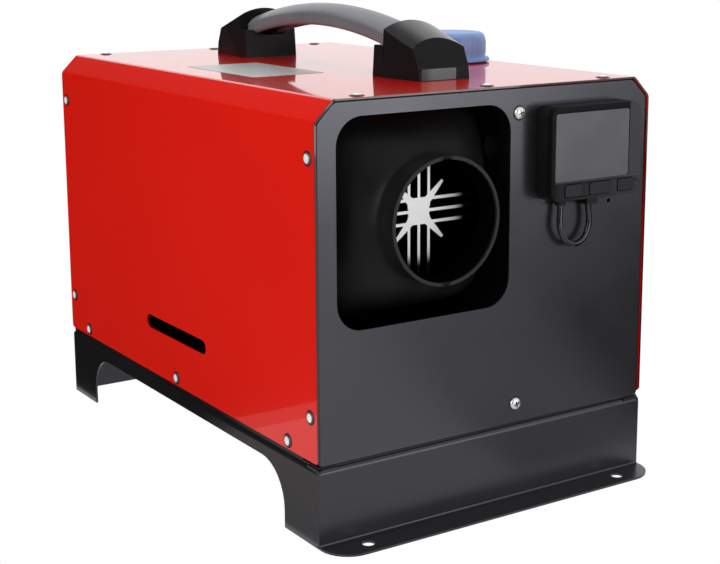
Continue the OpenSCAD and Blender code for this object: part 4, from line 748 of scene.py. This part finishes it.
def bezel_abs_painted_light():
    """Black ABS, with painted light to the right of the window and on the key strip, and a painted highlight
    line just under the window.
    """
    black = (0.0045, 0.0045, 0.0050)
    made = Finish("bezel_abs_painted_light", black, 0.30, specular_ior_level=0.07)
    x, y, z = made.axes()
    (left, low), (right, _), _, _ = centred(window_at, window_size)
    painted_light_beside = x.step(right + 0.1, right + 0.5) * z.step(low - 0.3, low + 0.1)
    below = (1.0 - z.step(low - 0.5, low - 0.1)) * x.step(left - 1.5, left + 4.0)
    # painted highlight: a thin light line just under the window
    lip = z.step(low - 0.5, low - 0.2) * (1.0 - z.step(low, low + 0.3)) * x.step(left - 0.5, left + 0.5)
    on_face = 1.0 - y.step(face_y + 0.15, face_y + 0.35)
    # painted light: the key strip grows lighter toward the right
    key_strip_painted_light = made.blend(x.step(left + 2.0, right + 7.5), (0.016, 0.016, 0.0178), (0.038, 0.0385, 0.0420))
    front = made.blend(painted_light_beside, made.blend(below, black, key_strip_painted_light), (0.052, 0.053, 0.058))
    front = made.blend(lip, front, (0.085, 0.086, 0.092))
    made.colour(made.blend(on_face, black, front))
    made.rough(made.noise(14.0, 4.0).step(0.25, 0.75) * 0.10 + 0.25)
    made.grain(1300.0, 0.5, 0.00005)
    return made.material


bezel = bmesh.new()
cut_outs = [(centred(window_at, window_size), 2.0)]
cut_outs += [(centred((x, key_z), (width, key_tall), key_gap), 2.0)
             for x, width in zip(key_places, key_widths)]
rounded_slab(bezel, controller_at, controller_size, controller_r, face_y, housing_y - 0.15, cut_outs)
piece(bezel, "controller_frame", bezel_abs_painted_light(), nodes=["controller_bezel"], slot="bezel_black", edge=0.4,
      crease=40)

smoked = Finish("smoked_acrylic", (0.105, 0.105, 0.118), 0.12, specular_ior_level=0.25)
film = smoked.noise(40.0, 2.0)
smoked.colour(smoked.blend(film.step(0.3, 0.7), (0.100, 0.100, 0.112), (0.112, 0.112, 0.126)))
smoked.rough(film.step(0.2, 0.8) * 0.05 + 0.14)
window = bmesh.new()
rounded_slab(window, window_at, [length - 0.5 for length in window_size], 1.8, face_y + 0.15, face_y + 0.95)
piece(window, "controller_window", smoked.material, nodes=["controller_screen"], slot="screen_grey",
      edge=0.25, crease=40)

silicone = moulded("key_silicone", (0.020, 0.020, 0.022), 0.40, grain=1200.0, shine=0.15)
for side, x, width in zip(("left", "middle", "right"), key_places, key_widths):
    key = bmesh.new()
    rounded_slab(key, (x, key_z), (width, key_tall), 1.6, face_y - key_out, face_y + key_in)
    rounded_slab(key, (x, key_z), (width + 2.2, key_tall + 1.6), 2.0, face_y + key_flange_in, face_y + key_in)
    piece(key, f"key_{side}", silicone, f"button_{side}", nodes=[f"button_{side}"], slot="button_grey",
          edge=0.45, steps=3, crease=40)

# ---------------------------------------------------------------- outlet
# The hood is moulded in glass-filled nylon: a round spigot with a clamp bead and two locating notches,
# flaring into the heater's square casing. Its skin is matt and a little dusty.

spigot_r, rim_y, casing_half, hood_wall = 38.5, front_y - 21, 64.0, 2.0
bead_high, notch_half, notch_deep = 1.2, 1.9, 2.0
hood_stages = [  # distance behind the rim, reach beyond the spigot's radius, squareness
    (0, -1.0, 2), (0, bead_high - 0.15, 2), (0.15, bead_high, 2), (3.0, bead_high, 2), (5.0, 0, 2),
    (12, 0, 2), (16.5, 0.15, 2), (18.5, 0.7, 2), (20.5, 1.9, 2.02), (23, 4.2, 2.08), (26, 7.4, 2.25),
    (30, 11.6, 2.6), (35, 16.0, 3.2), (40, 19.6, 4.0), (46, 22.8, 5.0), (52, 24.9, 6.0),
    (55, casing_half - spigot_r, 6.5), (63, casing_half - spigot_r, 6.5)]
hood = bmesh.new()
rings = []
for behind, flare, square in hood_stages:
    ring = bmesh.ops.create_circle(hood, cap_ends=False, radius=1, segments=128)["verts"]
    for v in ring:
        v.co *= (spigot_r + flare) / (abs(v.co.x) ** square + abs(v.co.y) ** square) ** (1 / square)
    bmesh.ops.rotate(hood, cent=(0, 0, 0), matrix=Matrix.Rotation(math.pi / 2, 3, "X"), verts=ring)
    bmesh.ops.translate(hood, vec=(heater_x, rim_y + behind, heater_z), verts=ring)
    rings.append([e for e in hood.edges if e.verts[0] in ring and e.verts[1] in ring])
for near, far in zip(rings, rings[1:]):
    bmesh.ops.bridge_loops(hood, edges=near + far)
bmesh.ops.recalc_face_normals(hood, faces=hood.faces)
hood_middle = Vector((heater_x, rim_y + 40, heater_z))
if sum(f.normal.dot(f.calc_center_median() - hood_middle) for f in hood.faces) < 0:
    bmesh.ops.reverse_faces(hood, faces=hood.faces)
for v in hood.verts:
    if abs(v.co.x - heater_x) < notch_half and v.co.y < rim_y + 1:
        v.co.y = rim_y + notch_deep
hood_skin = Finish("hood_nylon", (0.007, 0.007, 0.0075), 0.50, specular_ior_level=0.12)
dust = hood_skin.noise(26.0, 5.0)
dusty_black = hood_skin.blend(dust.step(0.35, 0.8), (0.0065, 0.0065, 0.0071), (0.0110, 0.0110, 0.0117))
_, hood_y, _ = hood_skin.axes()
# painted light: the spigot's rim face is painted lighter grey than the hood
behind_rim = hood_y.step(rim_y + 0.15, rim_y + 0.5)
hood_skin.colour(hood_skin.blend(behind_rim, (0.025, 0.025, 0.028), dusty_black))
hood_skin.rough(dust.step(0.3, 0.7) * 0.15 + 0.40)
hood_skin.grain(800.0, 0.5, 0.00007)
outlet_moulding = piece(hood, "outlet_moulding", hood_skin.material, nodes=["outlet_hood"],
                        slot="black_plastic", wall=hood_wall, edge=0.35, outward=False, crease=40)
# painted shade: the hood's inside is a near-black copy of its nylon, without gloss
inner_nylon_painted_shade = moulded("inner_nylon_painted_shade", (0.0012, 0.0012, 0.0012), 0.8, grain=500.0, shine=0.0)
outlet_moulding.data.materials.append(inner_nylon_painted_shade)
outlet_moulding.modifiers["wall"].material_offset = 1

# ---------------------------------------------------------------- filler cap
# Injection-moulded cap in blue polypropylene: fine grip ribs, a soft shoulder and a skirt round its
# mouth. It screws on to the tank's neck, where that comes up through the cover.

cap_low, cap_high, cap_r, cap_bore_r, skirt_r = 275.1, 296.0, 27.0, 24.05, 30.1
cap_top_wall, cap_round, rib_count, rib_high = 3.0, 5.2, 40, 0.45
cap_profile = [  # radius and height: the bore's mouth, the skirt, the ribbed wall
    (cap_bore_r, cap_low + 0.6), (cap_bore_r, cap_low), (skirt_r, cap_low), (skirt_r, cap_low + 1.4),
    (29.3, cap_low + 2.4), (27.6, cap_low + 2.4), (cap_r, cap_low + 3.2), (cap_r, cap_low + 6),
    (cap_r, cap_low + 10), (cap_r, cap_low + 14), (cap_r - 0.1, cap_high - 5.0)]
cap_profile += [(cap_r - cap_round + 5.1 * math.cos(turn), cap_high - cap_round + cap_round * math.sin(turn))
                for turn in (math.radians(10 * i) for i in range(1, 10))]
cap_profile += [(14, cap_high), (0, cap_high), (0, cap_high - cap_top_wall), (14, cap_high - cap_top_wall),
                (24.0, cap_high - cap_top_wall), (cap_bore_r, cap_low + 0.6)]
cap = bmesh.new()
turned(cap, cap_profile, 160, Matrix.Translation((*filler_at, 0)))
for v in cap.verts:
    out = Vector((v.co.x - filler_at[0], v.co.y - filler_at[1]))
    if abs(out.length - cap_r) < 0.06 and cap_low + 4 < v.co.z < cap_high - 5.5:
        wave = 0.5 + 0.5 * math.cos(rib_count * math.atan2(out.y, out.x))
        out *= 1 + rib_high / cap_r * wave
        v.co.x, v.co.y = filler_at[0] + out.x, filler_at[1] + out.y
blue = Finish("cap_polypropylene", (0.200, 0.270, 0.500), 0.36, subsurface_weight=0.08,
              subsurface_scale=0.004)
blue.mottle(blue.noise(35.0, 3.0), (0.150, 0.262, 0.535), (0.175, 0.292, 0.590), 0.32, 0.10)
blue.grain(900.0, 0.3, 0.00004)
piece(cap, "filler_cap", blue.material, "cap", nodes=["fuel_cap"], slot="cap_blue")

# ---------------------------------------------------------------- label
# A plain silver polyester label, stuck on top of the cover at the left of the grip. Nothing is
# printed on it.

label_x, label_y, label_r, label_thick = (-93, -36), (-42, 55), 2.0, 0.15
label = bmesh.new()
stuck = flat_sheet(label, box_corners(*label_x, *label_y), label_r, (),
                   Matrix.Translation((0, 0, case_top)) @ onto_top)
raised = bmesh.ops.extrude_face_region(label, geom=stuck)["geom"]
bmesh.ops.translate(label, vec=(0, 0, label_thick), verts=verts_in(raised))
foil = Finish("silver_foil", (0.50, 0.50, 0.51), 0.34, metallic=0.6)
brushed = foil.noise(220.0, 3.0, stretch=(1.0, 0.06, 1.0))
foil.colour(foil.blend(brushed.step(0.3, 0.7), (0.46, 0.46, 0.47), (0.54, 0.54, 0.55)))
foil.rough(brushed * 0.12 + 0.28)
foil.bump(brushed, 0.15, 0.00002)
piece(label, "blank_label", foil.material, slot="zinc_steel", crease=40)

# ---------------------------------------------------------------- heat exchanger
# One aluminium casting: a star of eight arms and a grid of fins, machined flat in front where the warm
# air leaves. Everything behind that face, and the fins beyond the star, is painted dark as painted shade.

star_z, face_deep = 1.8, 9.0
fin_pitch, fin_half, fin_grid_half = 7.4, (0.85, 1.1), (9.5, 10.0)
arm_half, arm_taper, arm_taper_from, arm_end = (2.6, 3.0), 0.11, 8.0, (25.0, 25.6)
hub_half_wide, hub_half_tall, fins_end = (7.6, 7.9), (8.3, 8.6), (26.5, 35.0)


def within(distance, limits):
    """1 inside the first limit, 0 outside the second."""
    return 1.0 - distance.step(*limits)


def faced_casting():
    """Cast aluminium: its front face is bright from machining, and painted shade darkens it behind and
    outwards.
    """
    made = Finish("exchanger_aluminium", (0.80, 0.80, 0.81), 0.42, specular_ior_level=0.1)
    across, along, up = made.axes()
    x, z = across - heater_x, up - (heater_z + star_z)
    far_x, far_z = x.maths("ABSOLUTE"), z.maths("ABSOLUTE")
    out = (x.maths("POWER", 2.0) + z.maths("POWER", 2.0)).maths("POWER", 0.5)
    lean, fall = (side * math.sqrt(0.5) for side in (x + z, x - z))
    off_arm = lean.maths("ABSOLUTE").maths("MINIMUM", fall.maths("ABSOLUTE"))
    arm = within(off_arm + (out - arm_taper_from) * arm_taper, arm_half) * within(out, arm_end)
    hub = within(far_x, hub_half_wide) * within(far_z, hub_half_tall)
    fins = 0.0
    for at, far in ((x, far_x), (z, far_z)):
        # distance to the middle of the nearest fin
        off_fin = (at + fin_pitch / 2).maths("FLOORED_MODULO", fin_pitch) - fin_pitch / 2
        fins = within(off_fin.maths("ABSOLUTE"), fin_half) * within(far, fin_grid_half) + fins
    # painted shade: only the star's front face stays bright; the rest is painted near black
    unshaded = (arm + hub + fins * within(out, fins_end)).held()
    behind = (along - (front_y + face_deep)).step(0.4, 1.6)
    painted_shade = 1.0 - (1.0 - behind) * unshaded
    grain = made.noise(420.0, 3.0)
    bright = made.blend(grain, (0.92, 0.92, 0.93), (0.98, 0.98, 0.99))
    painted_shade_colour = made.blend(grain, (0.0010, 0.0010, 0.0010), (0.0030, 0.0029, 0.0028))
    made.colour(made.blend(painted_shade, bright, painted_shade_colour))
    made.rough(painted_shade * 0.30 + grain * 0.1 + 0.34)
    made.feed(made.surface.inputs["Metallic"], (1.0 - painted_shade) * 0.2)
    made.bump(grain, 0.4, 0.0001)
    return made.material


refinish(faced_casting(), "heat_exchanger")

# ---------------------------------------------------------------- pieces kept from the frame
# What sits inside or behind: the rest of the heater and its blower, the tank with its lines and pump,
# the rear panel and the case's inner sheets. Each is finished in its own material.


def cast(name, colour, rough):
    """Sand or die cast metal, or rolled sheet: cloudy tone and a coarse, shallow grain."""
    made = Finish(name, colour, rough, metallic=1.0)
    made.mottle(made.noise(30.0, 5.0), shade(colour, 0.80), colour, rough - 0.06, 0.16)
    made.bump(made.noise(600.0, 3.0), 0.4, 0.00012)
    return made.material


refinish(cast("cast_aluminium", (0.88, 0.88, 0.89), 0.42), "blower_housing", "combustion_impeller")
refinish(cast("heat_tinted_steel", (0.36, 0.32, 0.28), 0.36), "burner_tube", "rotor_shaft", "exhaust_pipe")
refinish(cast("galvanised_sheet", (0.60, 0.61, 0.62), 0.40), "tank_strap")
refinish(cast("plated_hardware", (0.70, 0.70, 0.69), 0.25),
         "handle_bolts", "mount_studs", "pipe_clamps", "glow_plug")
refinish(cast("brass_fitting", (0.72, 0.52, 0.20), 0.30), "overheat_sensor", "tank_outlet")
refinish(satin_black("inner_black_coat", rough=0.32, shine=0.30),
         "rear_panel", "partition", "floor_plate", "heater_bracket")
refinish(moulded("casing_plastic", (0.010, 0.010, 0.011), 0.45),
         "heater_shell_upper", "heater_shell_lower", "inlet_cowl")
refinish(moulded("fan_plastic", (0.030, 0.030, 0.032), 0.42), "heating_fan", "control_unit")
refinish(moulded("rubber_parts", (0.014, 0.014, 0.014), 0.62), "air_pipe", "cap_gasket", "neck_grommet",
         "pump_clamp", "fuel_line_suction", "fuel_line_feed", "power_inlet")
refinish(moulded("cradle_plastic", (0.020, 0.020, 0.021), 0.5), "controller_cradle")
refinish(moulded("circuit_board", (0.010, 0.07, 0.025), 0.40), "controller_board")
refinish(moulded("fibre_gasket", (0.22, 0.20, 0.17), 0.85), "burner_gasket", "mount_gasket")
refinish(moulded("motor_enamel", (0.12, 0.12, 0.13), 0.38), "blower_motor", "fuel_pump")
refinish(moulded("natural_polyethylene", (0.78, 0.77, 0.70), 0.45), "fuel_tank")
refinish(moulded("filter_bowl", (0.60, 0.63, 0.60), 0.18), "fuel_filter")

# ---------------------------------------------------------------- studio
# Pale floor and an even white surround, lit by a large soft box at the left, one above and a small one
# in front. Cards seen only in reflections keep the gloss of both sides and the front from going white.

surround_light = 0.42
dark_grey, middle_grey, pale_grey = 0.002, 0.25, 0.55
beside_case, set_edge = -0.133, -2.0


def white_where_seen(nodes, kind, lit, output):
    """Plain white to the camera, in reflections and through glass; for all other light as it is lit."""
    rays = nodes.node("ShaderNodeLightPath").socket.node.outputs
    seen = sum(Value(nodes, rays[f"Is {ray} Ray"]) for ray in ("Camera", "Glossy", "Transmission"))
    white = nodes.node(kind, None, {"Color": (1, 1, 1), "Strength": 1.0})
    plain = Value(nodes, lit.outputs[0])
    nodes.feed(output.inputs["Surface"],
               nodes.node("ShaderNodeMixShader", None, {0: seen.held(), 1: plain, 2: white}))


def studio_sheet(name, bm, material):
    """A plain piece of the studio."""
    mesh = bpy.data.meshes.new(name)
    bm.to_mesh(mesh)
    bm.free()
    mesh.materials.append(material)
    made = bpy.data.objects.new(name, mesh)
    bpy.context.scene.collection.objects.link(made)
    return made


def card(name, grey, corners):
    """Card that only shows in reflections: it keeps one side of the set darker than white."""
    sheet = bmesh.new()
    sheet.faces.new([sheet.verts.new(corner) for corner in corners])
    held = studio_sheet(name, sheet, Finish(name, (grey,) * 3, 1.0, specular_ior_level=0.0).material)
    held.visible_camera = held.visible_diffuse = held.visible_shadow = held.visible_transmission = False


def upright(start, end, height):
    """Corners of a card that stands on a line between two points of the floor."""
    return [(*start, 0), (*end, 0), (*end, height), (*start, height)]


def lying(*corners):
    """Corners of a card that lies just above the floor."""
    return [(*corner, 0.001) for corner in corners]


def soft_box(name, place, aim, width, height, power, gloss=True):
    """An area lamp turned to its aim; without gloss it lights the set but shows in no reflection."""
    lamp = bpy.data.lights.new(name, "AREA")
    lamp.shape, lamp.size, lamp.size_y, lamp.energy = "RECTANGLE", width, height, power
    held = bpy.data.objects.new(name, lamp)
    bpy.context.scene.collection.objects.link(held)
    held.location = place
    held.visible_camera, held.visible_glossy = False, gloss
    held.rotation_euler = (Vector(aim) - Vector(place)).to_track_quat("-Z", "Y").to_euler()


ground = bmesh.new()
bmesh.ops.create_grid(ground, x_segments=1, y_segments=1, size=6)
paper = Finish("studio_paper", (0.86, 0.86, 0.86), 0.9)
white_where_seen(paper, "ShaderNodeEmission", paper.surface, paper.tree.nodes["Material Output"])
studio_sheet("studio_floor", ground, paper.material)

world = bpy.data.worlds.new("studio_world")
bpy.context.scene.world = world
world.use_nodes = True
sky = NodeTree(world.node_tree)
surround = sky.tree.nodes["Background"]
sky.feed(surround.inputs["Color"], (1, 1, 1))
sky.feed(surround.inputs["Strength"], surround_light)
white_where_seen(sky, "ShaderNodeBackground", surround, sky.tree.nodes["World Output"])

card("left_wall_card", dark_grey, upright((set_edge, 0.3), (-0.1, 1.7), 1.6))
for name, grey, near, far in (("left_far_card", dark_grey, 0.06, 1.7),
                              ("left_mid_card", middle_grey, 0.03, 0.06),
                              ("left_near_card", pale_grey, -0.4, 0.03)):
    card(name, grey, lying((beside_case, near), (beside_case, far), (set_edge, far), (set_edge, near)))
card("camera_side_card", dark_grey, upright((-1.9, -1.0), (-0.35, -2.0), 1.5))
card("right_far_card", dark_grey,
     lying((0.19, -0.24), (0.36, -0.60), (0.80, -1.30), (2.4, -1.30), (2.4, 0.4), (0.19, 0.4)))
card("right_near_card", pale_grey,
     lying((0.05, -0.22), (0.09, -0.36), (0.30, -0.80), (0.49, -0.80), (0.36, -0.60), (0.19, -0.22)))
soft_box("left_box", (-2.2, -0.6, 1.1), (0, 0, 0.15), width=1.6, height=1.8, power=34)
soft_box("top_box", (0.2, 0.2, 2.2), (0, 0, 0.15), width=1.8, height=1.8, power=24, gloss=False)
soft_box("front_box", (0.57, -1.55, 0.26), (-0.05, -0.18, 0.20), width=0.9, height=0.5, power=4.5)
bpy.context.scene.view_settings.view_transform = "Standard"
